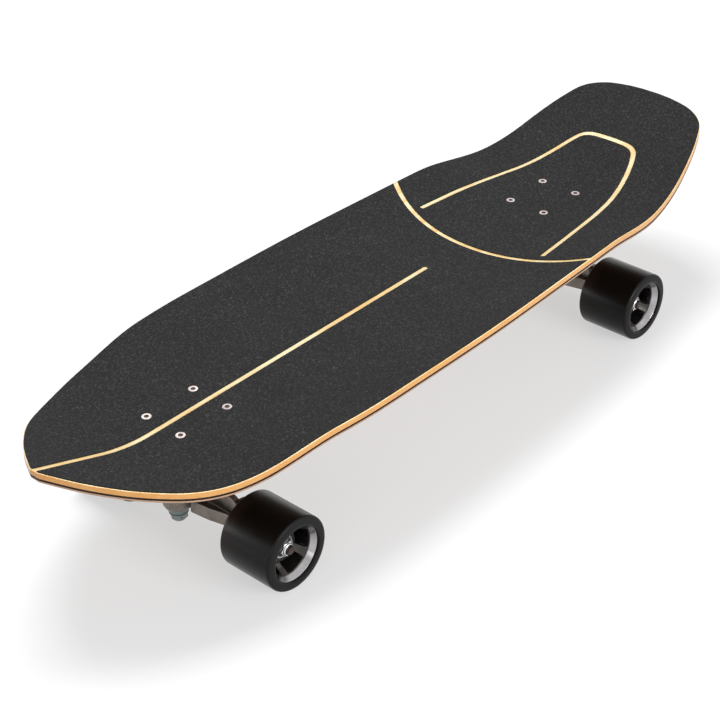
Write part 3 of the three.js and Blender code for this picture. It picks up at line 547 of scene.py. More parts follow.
def ramp(tree, value, stops):
    """A colour from stops of a place and a colour, where a single number is a grey."""
    made = node(tree, "ShaderNodeValToRGB", {"Fac": value})
    while len(made.color_ramp.elements) < len(stops):
        made.color_ramp.elements.new(1)
    for element, (place, colour) in zip(made.color_ramp.elements, stops):
        element.position = place
        element.color = (*(colour if isinstance(colour, tuple) else (colour,) * 3), 1)
    return made.outputs[0]


def around(tone, spread):
    """A tone made darker and paler by a share."""
    return [tuple(part * share for part in tone) for share in (1 - spread, 1 + spread)]


def blended(tree, factor, first, second, kind="MIX"):
    colours = [c if isinstance(c, bpy.types.NodeSocket) else (*c, 1) for c in (first, second)]
    return node(tree, "ShaderNodeMix", {0: factor, 6: colours[0], 7: colours[1]},
                data_type="RGBA", blend_type=kind).outputs[2]


def bumped(tree, height, strength, distance):
    return node(tree, "ShaderNodeBump", {
        "Height": height, "Strength": strength, "Distance": distance * MM}).outputs[0]


def surface(tree, **inputs):
    """The principled shader at the end of a material. Words in the input names are joined by _."""
    shader = node(tree, "ShaderNodeBsdfPrincipled", {
        name.replace("_", " "): value for name, value in inputs.items()})
    node(tree, "ShaderNodeOutputMaterial", {"Surface": shader.outputs[0]})


print("texture helpers ready")

# %% [markdown]
# Maple is pale and fine-grained, and it shows in three places: the amber edge of the top plies, the
# bright stripes between the grip sheets, and the whole underside. The grain runs along the board, so
# the noise that draws it is stretched in X. The edge shows the plies as faint lines, which follow the
# depth kept on each corner. A clear coat gives the varnish.

# %% Wood
def maple(name, light, dark, ply=1.9, spread=0.16):
    """Varnished maple between two tones, with grain along X and ply lines by depth."""
    material, tree = empty_material(name)
    fine = noise(tree, object_place(tree, (1, 14, 14)), 60, 6, 0.65, 0.4)
    broad = noise(tree, object_place(tree, (1, 5, 5)), 9, 3, 0.5, 1.2)
    grain = reckoned(tree, "MULTIPLY", reckoned(tree, "ADD", fine, broad), 0.5)
    tone = ramp(tree, grain, [(0.5 - spread, dark), (0.5 + spread, light)])
    depth = node(tree, "ShaderNodeAttribute", attribute_name="depth")
    share = reckoned(tree, "FRACT", reckoned(tree, "DIVIDE", depth.outputs["Fac"], ply))
    line = ramp(tree, share, [(0, 0.72), (0.08, 1), (0.92, 1), (1, 0.72)])
    surface(tree, Base_Color=blended(tree, 1.0, tone, line, "MULTIPLY"),
            Roughness=ramp(tree, fine, [(0.3, 0.3), (0.7, 0.44)]),
            Normal=bumped(tree, fine, 0.12, 0.2), Coat_Weight=0.35, Coat_Roughness=0.12)
    return material


def dyed_ply():
    """The black-dyed veneer, with a little brown grain left in it."""
    material, tree = empty_material("dyed_ply")
    fine = noise(tree, object_place(tree, (1, 18, 18)), 55, 5)
    tone = ramp(tree, fine, [(0.3, (0.007, 0.005, 0.004)), (0.75, (0.030, 0.018, 0.012))])
    surface(tree, Base_Color=tone, Roughness=0.5, Specular_IOR_Level=0.15,
            Normal=bumped(tree, fine, 0.1, 0.2))
    return material


top_maple = maple("amber_maple", (0.92, 0.48, 0.145), (0.74, 0.33, 0.08))
# The stripes' maple is paler than the edge's, partly as a painted sheen of the top catching the light.
stripe_maple = maple("stripe_maple", (1, 0.88, 0.54), (0.90, 0.56, 0.18), spread=0.08)
pale_maple = maple("pale_maple", (0.66, 0.40, 0.25), (0.50, 0.28, 0.165), ply=1.2)
black_ply = dyed_ply()
print("four woods")

# %% [markdown]
# The plies are three sheets on that surface: amber on top, a thin black one, and pale ones below. The
# top and the underside have rounded edges, as a router leaves them, and the middle one is cut square.

# %% Plies
edge_round, underside_round, deck_columns = 0.8, 1.9, 36
plies_top, ply_dark, plies_bottom, glue = 5.3, 1.9, 2.4, 0.1
dark_depth = plies_top + glue
bottom_depth = dark_depth + ply_dark + glue
underside_depth = bottom_depth + plies_bottom


def deck_sheet(name, levels):
    return crisp(draped(new_piece(name, *sheet_rings(levels, deck_columns))), 50)


top_sheet = deck_sheet("deck_amber_plies", rounded_edge(0, edge_round) + [(plies_top, 0)])
# Faces that look up take the paler stripe maple, partly a painted sheen.
painted(top_sheet, (top_maple, stripe_maple), lambda middle, normal: normal.z > 0.6)
mounted(top_sheet, "board", ["deck_top_plies"])
dark_sheet = deck_sheet("deck_black_ply", [(dark_depth, 0), (dark_depth + ply_dark, 0)])
mounted(dark_sheet, "board", ["deck_dark_ply"], black_ply)
bottom_sheet = deck_sheet("deck_pale_plies", [
    (bottom_depth, 0), *rounded_edge(underside_depth, underside_round, lower=True)])
mounted(bottom_sheet, "board", ["deck_bottom_plies"], pale_maple)
print("plies:", [len(s.data.polygons) for s in (top_sheet, dark_sheet, bottom_sheet)], "faces")

# %% [markdown]
# Grip is a black film covered with abrasive grit. It is stuck on in two sheets, and the maple is left
# bare in thin lines: a stringer down the middle, an arc across the tail and a horseshoe behind it. The
# sheets are cut flat, as a shop would cut them, and only then laid on the deck.

# %% Grip cutters
grip_thickness, grip_lift, grip_inset, grip_bevel = 0.8, 0.1, 0.9, 0.25
stringer_width, stringer_tail = 5.6, -48
seam_width, seam_x, seam_radius = 5.4, -106, 205
horseshoe_width, horseshoe_steps = 5.2, 136
horseshoe_half = [
    (-133.9, 74.8), (-190, 69.8), (-245.2, 62.2), (-289.9, 52.8), (-320, 44.3), (-338, 37.3),
    (-346.3, 32), (-350.5, 24), (-352, 10)]
head_radius, cut_half = 4.6, 5


def stripe(points, width, round_steps=8):
    """A cutter along a line of plan points, with round ends."""
    points = np.array(points, float)
    along = np.gradient(points, axis=0)
    along /= np.linalg.norm(along, axis=1)[:, None]
    out = np.stack([-along[:, 1], along[:, 0]], axis=1) * width / 2
    ends = []
    for centre, start in ((points[-1], out[-1]), (points[0], -out[0])):
        steps = [math.pi * s / round_steps for s in range(1, round_steps)]
        ends.append([(centre[0] + start[0] * math.cos(a) + start[1] * math.sin(a),
                      centre[1] + start[1] * math.cos(a) - start[0] * math.sin(a)) for a in steps])
    outline = [*map(tuple, points + out), *ends[0], *map(tuple, (points - out)[::-1]), *ends[1]]
    return prism(outline, -cut_half, cut_half)


def tail_side(radius):
    """A cutter of everything behind an arc of the radius about the seam's centre."""
    arc_half, back_half = 132, 140
    spread = math.asin(arc_half / radius)
    tail_arc = arc_points((seam_x - seam_radius, 0), radius, -spread, spread, 64)
    ends = [(-deck_length, back_half), (-deck_length, -back_half)]
    return prism([*tail_arc, *ends], -cut_half, cut_half)


def grip_sheet(name):
    levels = [(-grip_lift - grip_thickness, grip_inset + grip_bevel),
              (-grip_lift - grip_thickness * 0.6, grip_inset), (-grip_lift, grip_inset)]
    return new_piece(name, *sheet_rings(levels, deck_columns))


def bolt_plan(centre):
    long, wide = bolt_pitch
    return [(centre + a * long / 2, b * wide / 2) for b in (1, -1) for a in (1, -1)]


def head_holes(end):
    return [placed(drum(head_radius, -cut_half, cut_half, 40), x, y) for x, y in bolt_plan(truck_places[end])]


print("grip cutters ready")

# %% [markdown]
# The front sheet ends at the tail arc and is slit by the stringer. The rear one starts there and is
# slit by the horseshoe. Both get a hole for each bolt's head.

# %% Cutting the grip
stringer = stripe([(stringer_tail, 0), (deck_length, 0)], stringer_width)
mirrored = [(x, -y) for x, y in reversed(horseshoe_half)]
horseshoe = stripe(smooth_path(horseshoe_half + mirrored, horseshoe_steps), horseshoe_width)
front_grip = carve(grip_sheet("grip_front_sheet"), [
    tail_side(seam_radius + seam_width / 2), stringer, *head_holes("front")])
rear_grip = carve(grip_sheet("grip_rear_sheet"), [tail_side(seam_radius - seam_width / 2)], "INTERSECT")
carve(rear_grip, [horseshoe, *head_holes("rear")])
print("grip sheets:", len(front_grip.data.polygons), len(rear_grip.data.polygons), "faces")

# %% [markdown]
# The grit is finer than a millimetre, so it is a matter of shading: tiny cells tip the normal and
# scatter light, the cells' tones vary and a few grains are painted paler as glints, and a broad noise
# keeps the black from looking printed.

# %% Grit
def grit():
    material, tree = empty_material("abrasive_grit")
    place = object_place(tree)
    cells = node(tree, "ShaderNodeTexVoronoi", {"Vector": place, "Scale": 950}, feature="F1").outputs
    coarse, broad = noise(tree, place, 420, 3, 0.7), noise(tree, place, 14, 3, 0.5)
    grain = ramp(tree, coarse, [(0.32, (0.0105, 0.0105, 0.011)), (0.6, 0.019), (0.78, (0.036, 0.035, 0.034))])
    worn = ramp(tree, broad, [(0.3, 0.92), (0.7, 1.06)])
    # random tone per grain, with the palest cells a painted glint
    speck_and_painted_glint = ramp(tree, cells["Color"], [(0.15, 0.45), (0.6, 1), (0.92, 2.9)])
    colour = blended(tree, 1.0, blended(tree, 1.0, grain, worn, "MULTIPLY"), speck_and_painted_glint, "MULTIPLY")
    relief = node(tree, "ShaderNodeBump", {
        "Height": coarse, "Strength": 0.5, "Distance": 0.3 * MM,
        "Normal": bumped(tree, cells["Distance"], 0.6, 0.35)})
    surface(tree, Base_Color=colour, Roughness=ramp(tree, cells["Color"], [(0.2, 0.6), (0.8, 0.95)]),
            Normal=relief.outputs[0], Specular_IOR_Level=0.1)
    return material


grip_grit = grit()
for sheet, name in ((front_grip, "grip_front"), (rear_grip, "grip_rear")):
    mounted(crisp(draped(sheet), 40), "board", [name], grip_grit)
print("grip laid on the deck")

# %% [markdown]
# Metals differ mostly in colour and in how sharply they mirror. One recipe covers them: a base tone
# with slight clouds, roughness that wanders with a noise, and a relief that is fine for turned steel
# and pebbly for a sand-cast or tumbled casting.

# %% Metals
def metal(name, tone, roughness, cloud=0.12, relief=0.05, relief_scale=900, metallic=1.0, spread=0.08):
    material, tree = empty_material(name)
    place = object_place(tree)
    broad, fine = noise(tree, place, 70, 4), noise(tree, place, relief_scale, 3, 0.7)
    low, high = around(tone, cloud)
    surface(tree, Base_Color=ramp(tree, broad, [(0.3, low), (0.7, high)]), Metallic=metallic,
            Roughness=ramp(tree, broad, [(0.3, roughness - spread), (0.7, roughness + spread)]),
            Normal=bumped(tree, fine, relief, 0.15))
    return material


bolt_plate = metal("bolt_plating", (0.60, 0.53, 0.50), 0.34)
cast_metal = metal("tumbled_casting", (0.21, 0.183, 0.162), 0.44, 0.26, 0.32, 700)
bright_steel = metal("bright_steel", (0.70, 0.70, 0.71), 0.2, 0.06)
zinc_plate = metal("zinc_plating", (0.23, 0.255, 0.26), 0.3)
# dark brown: painted shade at the axle's end inside the nut
shaded_axle_steel = metal("oiled_axle_steel", (0.085, 0.065, 0.055), 0.38, 0.2)
spring_steel = metal("spring_steel", (0.42, 0.43, 0.45), 0.3, 0.1)
# painted shade for the inside of the bolt sockets
shade_painted_in_socket = metal("socket_shade", (0.035, 0.018, 0.011), 0.7, 0.2, metallic=0.1)
core_alloy = metal("core_finish", (0.060, 0.055, 0.052), 0.3, 0.25, 0.1, 1100, metallic=0.9)
# bright metal of the core's rim band, also a painted highlight on the hub's front edge
rim_and_hub_highlight = metal("core_rim", (0.40, 0.385, 0.40), 0.2, 0.2, 0.12, 500)
print("nine metals")

# %% [markdown]
# A thread is a rod whose radius follows a helix, and a nut is a hexagon whose corners are turned down
# to a chamfer.

# %% Threads and nuts
bolt_head_radius, bolt_head_depth, socket_across, socket_depth, shank_radius = 4.4, 2.7, 4.2, 0.5, 2.4
underside_z, plate_thickness, grip_proud = 114.1, 6, 0.02
deck_nut_across, deck_nut_height, nut_side_gap, shank_low = 9.2, 5, 0.02, -14
thread_pitch, thread_depth, thread_steps, thread_fade = 0.9, 0.3, 6, 1.2


def threaded_rod(name, radius, low, high, pitch=thread_pitch, depth=thread_depth, sides=28):
    """A rod about Z whose radius follows a helix, with plain chamfered ends."""
    levels = max(int((high - low) / pitch * thread_steps), 8)
    sections = []
    for level in range(levels + 1):
        z = low + (high - low) * level / levels
        fade = min(1, min(z - low, high - z) / (thread_fade * pitch))
        section = []
        for side in range(sides):
            tooth = abs(2 * ((z / pitch - side / sides) % 1) - 1)
            r = radius - depth * tooth * fade - depth * (1 - fade)
            section.append((*polar(2 * math.pi * side / sides, r), z))
        sections.append(section)
    return lofted(name, sections)


def hexagon(across):
    return [polar(2 * math.pi * i / 6, across / math.sqrt(3)) for i in range(6)]


def hex_nut(name, across, low, high, bore):
    """A hexagon with turned chamfers at both ends and a bore through it."""
    corner = across / math.sqrt(3)
    nut = prism(hexagon(across), low, high, name)
    trim = (corner - across / 2) * 1.1
    rise = trim * 0.55
    barrel = upright("barrel", [
        (0, low), (corner - trim, low), (corner, low + rise), (corner, high - rise),
        (corner - trim, high), (0, high)], 72)
    carve(nut, [barrel], "INTERSECT")
    if bore:
        carve(nut, [drum(bore, low - 2, high + 2, 40)])
    return crisp(nut, 25)


print("threads and nuts ready")

# %% [markdown]
# Eight countersunk bolts hold the trucks on. Each is a cone on a shank with a hexagon socket, and its
# lock nut is drawn up against the base plate.

# %% One deck bolt
def deck_bolt():
    """A bolt with its lock nut, standing on the underside of the deck."""
    top = deck_top + grip_lift + grip_thickness + grip_proud - underside_z
    nut_top, nut_low = -plate_thickness - nut_side_gap, -plate_thickness - deck_nut_height
    head = upright("bolt_head", [
        (0, shank_low), (shank_radius, shank_low), (shank_radius, top - bolt_head_depth),
        (bolt_head_radius - 0.15, top - 0.45), (bolt_head_radius, top - 0.25),
        (bolt_head_radius - 0.2, top), (0, top)], 48)
    carve(head, [prism(hexagon(socket_across), top - socket_depth, top + 2)])
    # The socket's floor and walls get the dark socket finish, painted shade in the shallow recess.
    painted(head, (bolt_plate, shade_painted_in_socket), lambda middle, normal: (
        middle.xy.length < socket_across / 1.6 and top - socket_depth - 0.2 < middle.z < top - 0.05))
    carve(head, [drum(6, shank_low - 1, nut_low - 0.2)])
    tip = threaded_rod("bolt_thread", shank_radius, nut_low - 1.2, nut_low + 0.4)
    nut = hex_nut("bolt_nut", deck_nut_across, nut_low, nut_top, 0)
    collar = upright("bolt_collar", [
        (2.3, nut_low - 0.6), (3.7, nut_low - 0.6), (4.1, nut_low), (2.3, nut_low)], 36, True)
    return joined("deck_bolt", [crisp(head, 30), tip, nut, collar])


one_bolt = deck_bolt()
print("bolt:", len(one_bolt.data.polygons), "faces")

# %% [markdown]
# The eight bolts are alike, so Geometry Nodes put a copy on each point of the standard pattern: the
# tree takes the bolt as an input, instances it, realizes the copies and sets their plating, but keeps
# the painted shade inside the sockets.

# %% Bolts on their pattern
def named_tree(name, inputs):
    """A Geometry Nodes tree with named inputs: the tree, its two ends and the inputs' identifiers."""
    tree = bpy.data.node_groups.new(name, "GeometryNodeTree")
    face = tree.interface
    face.new_socket("Geometry", in_out="INPUT", socket_type="NodeSocketGeometry")
    sockets = {label: face.new_socket(label, in_out="INPUT", socket_type="NodeSocket" + kind).identifier
               for label, kind in inputs.items()}
    face.new_socket("Geometry", in_out="OUTPUT", socket_type="NodeSocketGeometry")
    return tree, tree.nodes.new("NodeGroupInput"), tree.nodes.new("NodeGroupOutput"), sockets


def grown(name, corners, tree, sockets, values):
    """The plain mesh that a tree makes from corners, with each input set by its identifier."""
    piece = new_piece(name, corners, [])
    pattern = piece.modifiers.new("pattern", "NODES")
    pattern.node_group = tree
    for label, value in values.items():
        pattern[sockets[label]] = value
    return bake(piece)


def scattering_tree():
    """Puts a chosen object on every point, realized, with a chosen material."""
    tree, entry, leave, sockets = named_tree("bolts_on_pattern", {
        "Copied piece": "Object", "Kept shade": "Material", "Finish": "Material"})
    given = entry.outputs
    points = node(tree, "GeometryNodeMeshToPoints", {0: given[0]})
    info = node(tree, "GeometryNodeObjectInfo", {"Object": given["Copied piece"]})
    copies = node(tree, "GeometryNodeInstanceOnPoints", {
        "Points": points.outputs[0], "Instance": info.outputs["Geometry"]})
    real = node(tree, "GeometryNodeRealizeInstances", {0: copies.outputs[0]})
    shaded = node(tree, "GeometryNodeMaterialSelection", {"Material": given["Kept shade"]})
    others = node(tree, "FunctionNodeBooleanMath", {0: shaded.outputs[0]}, operation="NOT")
    paint = node(tree, "GeometryNodeSetMaterial", {
        "Geometry": real.outputs[0], "Selection": others.outputs[0], "Material": given["Finish"]})
    tree.links.new(paint.outputs[0], leave.inputs[0])
    return tree, sockets


bolt_tree, bolt_sockets = scattering_tree()
for end, centre in truck_places.items():
    places = [(x, y, underside_z) for x, y in bolt_plan(centre)]
    bolts = grown(f"{end}_deck_bolts", places, bolt_tree, bolt_sockets, {
        "Copied piece": one_bolt, "Kept shade": shade_painted_in_socket, "Finish": bolt_plate})
    mounted(bolts, "board", [f"{end}_deck_bolt_{i}" for i in range(1, 5)])
    print(f"{end} bolts: {len(bolts.data.polygons)} faces")
cleared([one_bolt])

# %% [markdown]
# Each wheel is a thick urethane tyre cast round a moulded core. The urethane is smoke-black and lets a
# little light in, so its inner edge glows brown against a bright floor, and that glow is painted into
# the tread's colour. A turned profile gives the shape; the tread is moulded glossy and the outer face
# is left dull from the lathe.

# %% Tyre profile
wheel_radius, wheel_half, tyre_bore, tyre_back_bore, bore_step = 35, 28.8, 27.15, 21, -12.3
lip_radius, face_cone, tyre_lip, back_radius = 2.5, 0.9, 2.6, 1.5
axle_places, axle_z, wheel_centre = {"front": 263, "rear": -248.3}, 35, 94.3
# the last number is how far in from the tyre's inner face the painted glow reaches
painted_glow_depth = 20


def at_axle(piece, end, x=0):
    """Moves a piece from its axle's own frame to the front or the rear axle."""
    return placed(piece, axle_places[end] + x, 0, axle_z)


def tyre_profile():
    outer, back = wheel_radius - lip_radius, tyre_back_bore + back_radius
    return [
        (tyre_bore, wheel_half - tyre_lip), (tyre_bore - 1.1, wheel_half - tyre_lip + 0.3),
        (tyre_bore - 1.2, wheel_half - 1.3), (tyre_bore - 0.6, wheel_half - 0.4),
        (tyre_bore + 0.6, wheel_half), (outer - 1.2, wheel_half - face_cone * 0.55),
        *arc((outer, wheel_half - face_cone - lip_radius), lip_radius, 80, 0),
        (wheel_radius, 0), *arc((outer, lip_radius - wheel_half), lip_radius, 0, -90),
        (back, -wheel_half), *arc((back, back_radius - wheel_half), back_radius, -90, -180, 4),
        (tyre_back_bore, bore_step), (tyre_bore, bore_step),
    ]


print(f"tyre profile of {len(tyre_profile())} points")

# %% [markdown]
# Urethane is cloudy and a little soft, so it takes a faint glow from below its surface. The same recipe
# gives the bushings, the bearings' shields and the nylon of the lock nuts.

# %% Urethane
def urethane(name, tone, roughness, glow, shine=0.5, painted_glow_tone=None):
    """Cast urethane. With a glow tone, its colour runs to that painted brown glow towards the wheel's inner
    side, where it is thinnest.
    """
    material, tree = empty_material(name)
    place = object_place(tree)
    broad, fine = noise(tree, place, 25, 2), noise(tree, place, 1500, 2)
    low, high = around(tone, 0.06)
    shade = ramp(tree, broad, [(0.3, low), (0.7, high)])
    if painted_glow_tone:
        across = node(tree, "ShaderNodeSeparateXYZ", {0: place}).outputs["Y"]
        inner = wheel_centre - wheel_half
        # painted glow: one at the tyre's inner face, fading to nought further in
        thin = smooth_range(tree, reckoned(tree, "ABSOLUTE", across), inner * MM,
                            (inner + painted_glow_depth) * MM, 1.0, 0.0)
        shade = blended(tree, thin, shade, painted_glow_tone)
    surface(tree, Base_Color=shade,
            Roughness=ramp(tree, broad, [(0.3, roughness - 0.01), (0.7, roughness + 0.02)]),
            Normal=bumped(tree, fine, 0.03, 0.05), Specular_IOR_Level=shine, Subsurface_Weight=glow,
            Subsurface_Radius=(1.0, 0.45, 0.25), Subsurface_Scale=0.004)
    return material


# the last colour is the tread's painted brown glow at its inner edge
tread_urethane = urethane("smoke_tread", (0.0016, 0.0014, 0.0012), 0.24, 0.0, 0.2, (0.014, 0.008, 0.0055))
face_urethane = urethane("smoke_face", (0.0068, 0.0066, 0.0068), 0.55, 0.05, 0.16)
bushing_urethane = urethane("bushing_urethane", (0.22, 0.315, 0.30), 0.34, 0.2)
shield_rubber = urethane("shield_rubber", (0.02, 0.02, 0.022), 0.5, 0)
nylon = urethane("nylon_insert", (0.09, 0.09, 0.095), 0.45, 0.1)

print("five cast and moulded finishes")

# %% [markdown]
# The tyre is painted face by face: those that look outwards between bore and tread are dull.

# %% Tyre form
tyre_form = painted(
    turned("tyre", tyre_profile(), 128, closed=True), (tread_urethane, face_urethane),
    lambda middle, normal: normal.y > 0.8 and tyre_bore + 1 < middle.xz.length < wheel_radius - 0.9)
crisp(tyre_form, 32)
print("tyre:", len(tyre_form.data.polygons), "faces")

# %% [markdown]
# The core looks like a small alloy rim: a bright outer ring, a dished band, spokes with windows between
# them and a hub that holds two bearings. It starts as one turned ring; five rounded windows are then
# cut straight through it, and the edges that leaves are broken with a small bevel.

# %% Cores
core_radius, core_face, core_back, core_wall = 27.1, 26, -12, 2.8
dish_radius, dish_floor, hub_radius, hub_face, seat_radius, hub_bore = 17.5, 8.8, 14.2, 12, 11.2, 9
window_count, window_inner, window_outer, window_gap, window_corner = 5, 15.8, 23.2, 19, 1.6
band_inner, band_outer, band_floor, band_top = 24, 25.8, 20.2, 25.7
bearing_half_gap, bearing_width, broken_edge = 5, 7, 0.35


def core_profile():
    return [
        (seat_radius, hub_face), (hub_radius - 0.6, hub_face), (hub_radius, hub_face - 0.6),
        (hub_radius, dish_floor + 0.5), (hub_radius + 0.5, dish_floor), (dish_radius - 0.5, dish_floor),
        (dish_radius + 0.4, dish_floor + 0.6), (band_inner - 0.9, band_floor - 0.8),
        (band_inner, band_floor), (band_outer, band_top), (band_outer + 0.3, core_face),
        (core_radius - 0.3, core_face), (core_radius, core_face - 0.3), (core_radius, core_back),
        (core_radius - core_wall, core_back), (hub_radius + 1, dish_floor - 13),
        (hub_radius, dish_floor - 13.8), (hub_radius, -hub_face), (seat_radius, -hub_face),
        (seat_radius, -bearing_half_gap), (hub_bore, -bearing_half_gap), (hub_bore, bearing_half_gap),
        (seat_radius, bearing_half_gap),
    ]


def sector(inner, outer, start, end, corner):
    """Outline of a ring sector with rounded corners."""
    shift_in, shift_out, soft = corner / inner, corner / outer, 0.3
    side = [(soft * shift_out, outer - corner * soft), (0, outer - corner), (0, inner + corner),
            (soft * shift_in, inner + corner * soft)]
    return [
        *arc_points((0, 0), outer, start + shift_out, end - shift_out, 10),
        *(polar(end - turn, radius) for turn, radius in side),
        *arc_points((0, 0), inner, end - shift_in, start + shift_in, 8),
        *(polar(start + turn, radius) for turn, radius in reversed(side)),
    ]


def make_core():
    core = turned("core", core_profile(), 120, closed=True)
    pitch, gap = 2 * math.pi / window_count, math.radians(window_gap) / 2
    windows = [sector(window_inner, window_outer, i * pitch + gap, (i + 1) * pitch - gap, window_corner)
               for i in range(window_count)]
    carve(core, [tipped(prism(window, -40, 40)) for window in windows])
    edges = core.modifiers.new("broken_edges", "BEVEL")
    edges.width, edges.segments = broken_edge * MM, 2
    edges.limit_method, edges.angle_limit = "ANGLE", math.radians(40)
    return crisp(bake(core))


# The hub's front edge takes the rim's bright metal as a painted highlight.
def on_rim_and_hub_highlight(middle, normal):
    radius, place = middle.xz.length, middle.y
    on_hub_highlight = 12.4 < radius < hub_radius + 0.3 and place > hub_face - 1.2
    return on_hub_highlight or radius > band_inner - 0.4 and place > band_floor - 0.3


core_form = painted(make_core(), (core_alloy, rim_and_hub_highlight), on_rim_and_hub_highlight)
print("core:", len(core_form.data.polygons), "faces")

# %% [markdown]
# Two bearings sit in the core's hub and a lock nut holds the wheel on its axle. Between a bearing's
# two bright races lies a black shield, a shallow groove in the turned profile that gets a second
# material by its radius.

# %% Bearings and axle nuts
race_outer, race_inner, shield_outer, shield_inner, shield_depth = 11, 4.25, 9.2, 5.9, 0.4
axle_radius, axle_clearance, nut_across, nut_height, collar_height = 4, 0.15, 12.7, 6.5, 1.6
bearing_place, nut_place = 8.5, 12.3


def both_sides(half_profile):
    """A closed profile from its lower half, mirrored about the middle plane."""
    return half_profile + [(radius, -place) for radius, place in reversed(half_profile)]


def make_bearing():
    half, step = bearing_width / 2, bearing_width / 2 - shield_depth
    bearing = turned("bearing", both_sides([
        (race_inner, -half + 0.2), (race_inner + 0.2, -half), (shield_inner - 0.1, -half),
        (shield_inner, -step), (shield_outer, -step), (shield_outer + 0.1, -half),
        (race_outer - 0.3, -half), (race_outer, -half + 0.3)]), closed=True)
    painted(bearing, (bright_steel, shield_rubber), lambda middle, normal: (
        shield_inner < middle.xz.length < shield_outer and abs(middle.y) < half))
    return crisp(bearing, 30)


def lock_nut(name, nut, collar, segments):
    """A nut with the turned collar that holds its nylon ring."""
    return joined(name, [nut, crisp(upright("collar", collar, segments, True))])


def make_axle_nut():
    """A lock nut along Y whose nylon collar points outwards."""
    base, hole, flat = nut_height - collar_height, axle_radius + axle_clearance, nut_across / 2
    nut = tipped(lock_nut("axle_nut", hex_nut("axle_nut", nut_across, 0, base, hole), [
        (hole, base - 0.4), (flat - 0.2, base - 0.4), (flat - 0.5, base + 0.7),
        (flat - 1.1, nut_height - 0.15), (flat - 1.5, nut_height), (axle_radius + 0.9, nut_height),
        (axle_radius + 0.7, nut_height - 0.5), (hole, nut_height - 0.6),
    ], 48), -1)
    return painted(nut, (bright_steel, nylon), lambda middle, normal: (
        middle.xz.length < axle_radius + 0.95 and middle.y > nut_height - 0.7))


bearing_form, nut_form = make_bearing(), make_axle_nut()
bearing_pair = joined("bearing_pair", [
    placed(twin(bearing_form, "near"), y=bearing_place), placed(twin(bearing_form, "far"), y=-bearing_place)])
print("bearing and nut:", [len(p.data.polygons) for p in (bearing_form, nut_form)], "faces")

# %% [markdown]
# The four wheels are the same set of forms. On the right side the set is turned half round about Z, so
# every face that looks outwards on the left does so there too.

# %% Four wheels
half_turn = Matrix.Rotation(math.pi, 3, "Z")
for end, axle_x in axle_places.items():
    for side, sign in (("left", 1), ("right", -1)):
        corner, wheel = f"{end}_{side}", f"{end}_{side}_wheel"
        for form, suffix, out, body, slot, nodes in (
            (tyre_form, "tyre_urethane", 0, wheel, "tyre", ["tyre"]),
            (core_form, "spoked_core", 0, wheel, "core", ["core"]),
            (bearing_pair, "bearings", 0, wheel, "steel", ["bearing_outer", "bearing_inner"]),
            (nut_form, "lock_nut", nut_place, f"{end}_truck", "steel", ["axle_nut"]),
        ):
            piece = placed(twin(form, f"{corner}_{suffix}"), axle_x, sign * (wheel_centre + out), axle_z,
                           None if sign > 0 else half_turn)
            mounted(piece, body, [f"{corner}_{name}" for name in nodes])
cleared([tyre_form, core_form, bearing_form, nut_form, bearing_pair])
print("four wheels with cores, bearings and nuts")

# %% [markdown]
# The hanger is the hardest casting here: a thin flange in front, a deep pocket behind it, a tall ridge,
# a ring that the bushings squeeze, and a nose that pivots in a cup. It is lofted from side sections,
# melted together with the ring and the nose into one skin with soft inner corners, and then cut where a
# real casting is machined: the bushing seats, the kingpin's bore and the axle's ends.

# %% Hanger sections
hanger_half, boss_radius, boss_length = 82, 8.5, 17
shoulder_at, shoulder_height, crown_height = 48, 22, 25
depth_below, flange_top, flange_wall, pocket_floor, ridge_wall = 8, 10, 3.2, 6.2, 6.5
ring_x, ring_radius, ring_low, ring_high, ring_bore, seat_depth = 19.5, 14, 2.3, 14, 6.5, 2
ring_low_radius, ring_taper, skin_allowance = 11.8, 4, 0.3
bushing_radius, low_bushing_radius, bushing_clearance = 12, 10.3, 0.3
pivot_reach, pivot_rise, pivot_root, pivot_tip = 43.5, 15.8, 8.5, 5.5
pivot_place = Vector((ring_x - pivot_reach, 0, (ring_low + ring_high) / 2 + pivot_rise))
lean_turn = Vector((-pivot_reach, 0, pivot_rise)).normalized().to_track_quat("Z", "Y").to_matrix()
boss_degrees = [-40, -12, 18, 42, 60, 78, 98, 125, 165, 215, 270]
web_outline, web_width = [(-6, 14), (3, 24), (-16, 22), (-20, 15)], 5
section_steps, hanger_grain = 7, 0.7
far_below, far_above, far_out = -40, 60, 95


def hanger_section(front, ridge, low):
    back = boss_radius + 1
    return [
        (front - flange_wall, -low), (front, -low / 2), (front - flange_wall / 3, flange_top),
        (front - flange_wall, flange_top), (front - 1.2 * flange_wall, pocket_floor),
        (ridge_wall / 2, pocket_floor), (ridge_wall / 4, ridge), (-ridge_wall * 0.67, ridge),
        (-back, flange_top / 3), (-back * 0.75, -low * 0.75), (0, -depth_below),
    ]


def hanger_stations():
    """The section at each distance from the middle, from the ring out to the axle's boss."""
    low, boss = depth_below / 2, hanger_half - boss_length
    at_ring, at_shoulder, at_boss = ring_x - flange_wall, boss_radius + 2, boss_radius + 1
    between = (at_ring + at_shoulder) / 2 + 1
    boss_section = [polar(math.radians(d), boss_radius) for d in boss_degrees]
    return [
        (0, hanger_section(at_ring, crown_height, low / 2)),
        (ring_radius, hanger_section(at_ring, crown_height, low)),
        ((ring_radius + shoulder_at) / 2, hanger_section(between, (crown_height + shoulder_height) / 2, low)),
        (shoulder_at, hanger_section(at_shoulder, shoulder_height, low)),
        ((shoulder_at + boss) / 2, hanger_section(at_boss, flange_top + pocket_floor, low)),
        (boss, boss_section),
        (hanger_half - 0.6, boss_section),
    ]


print("hanger stations at", [round(y) for y, _ in hanger_stations()], "mm")

# %% [markdown]
# Between the stations the sections are blended, and the whole is mirrored about the middle. Ring, nose
# and web are plain solids that the skin takes in.

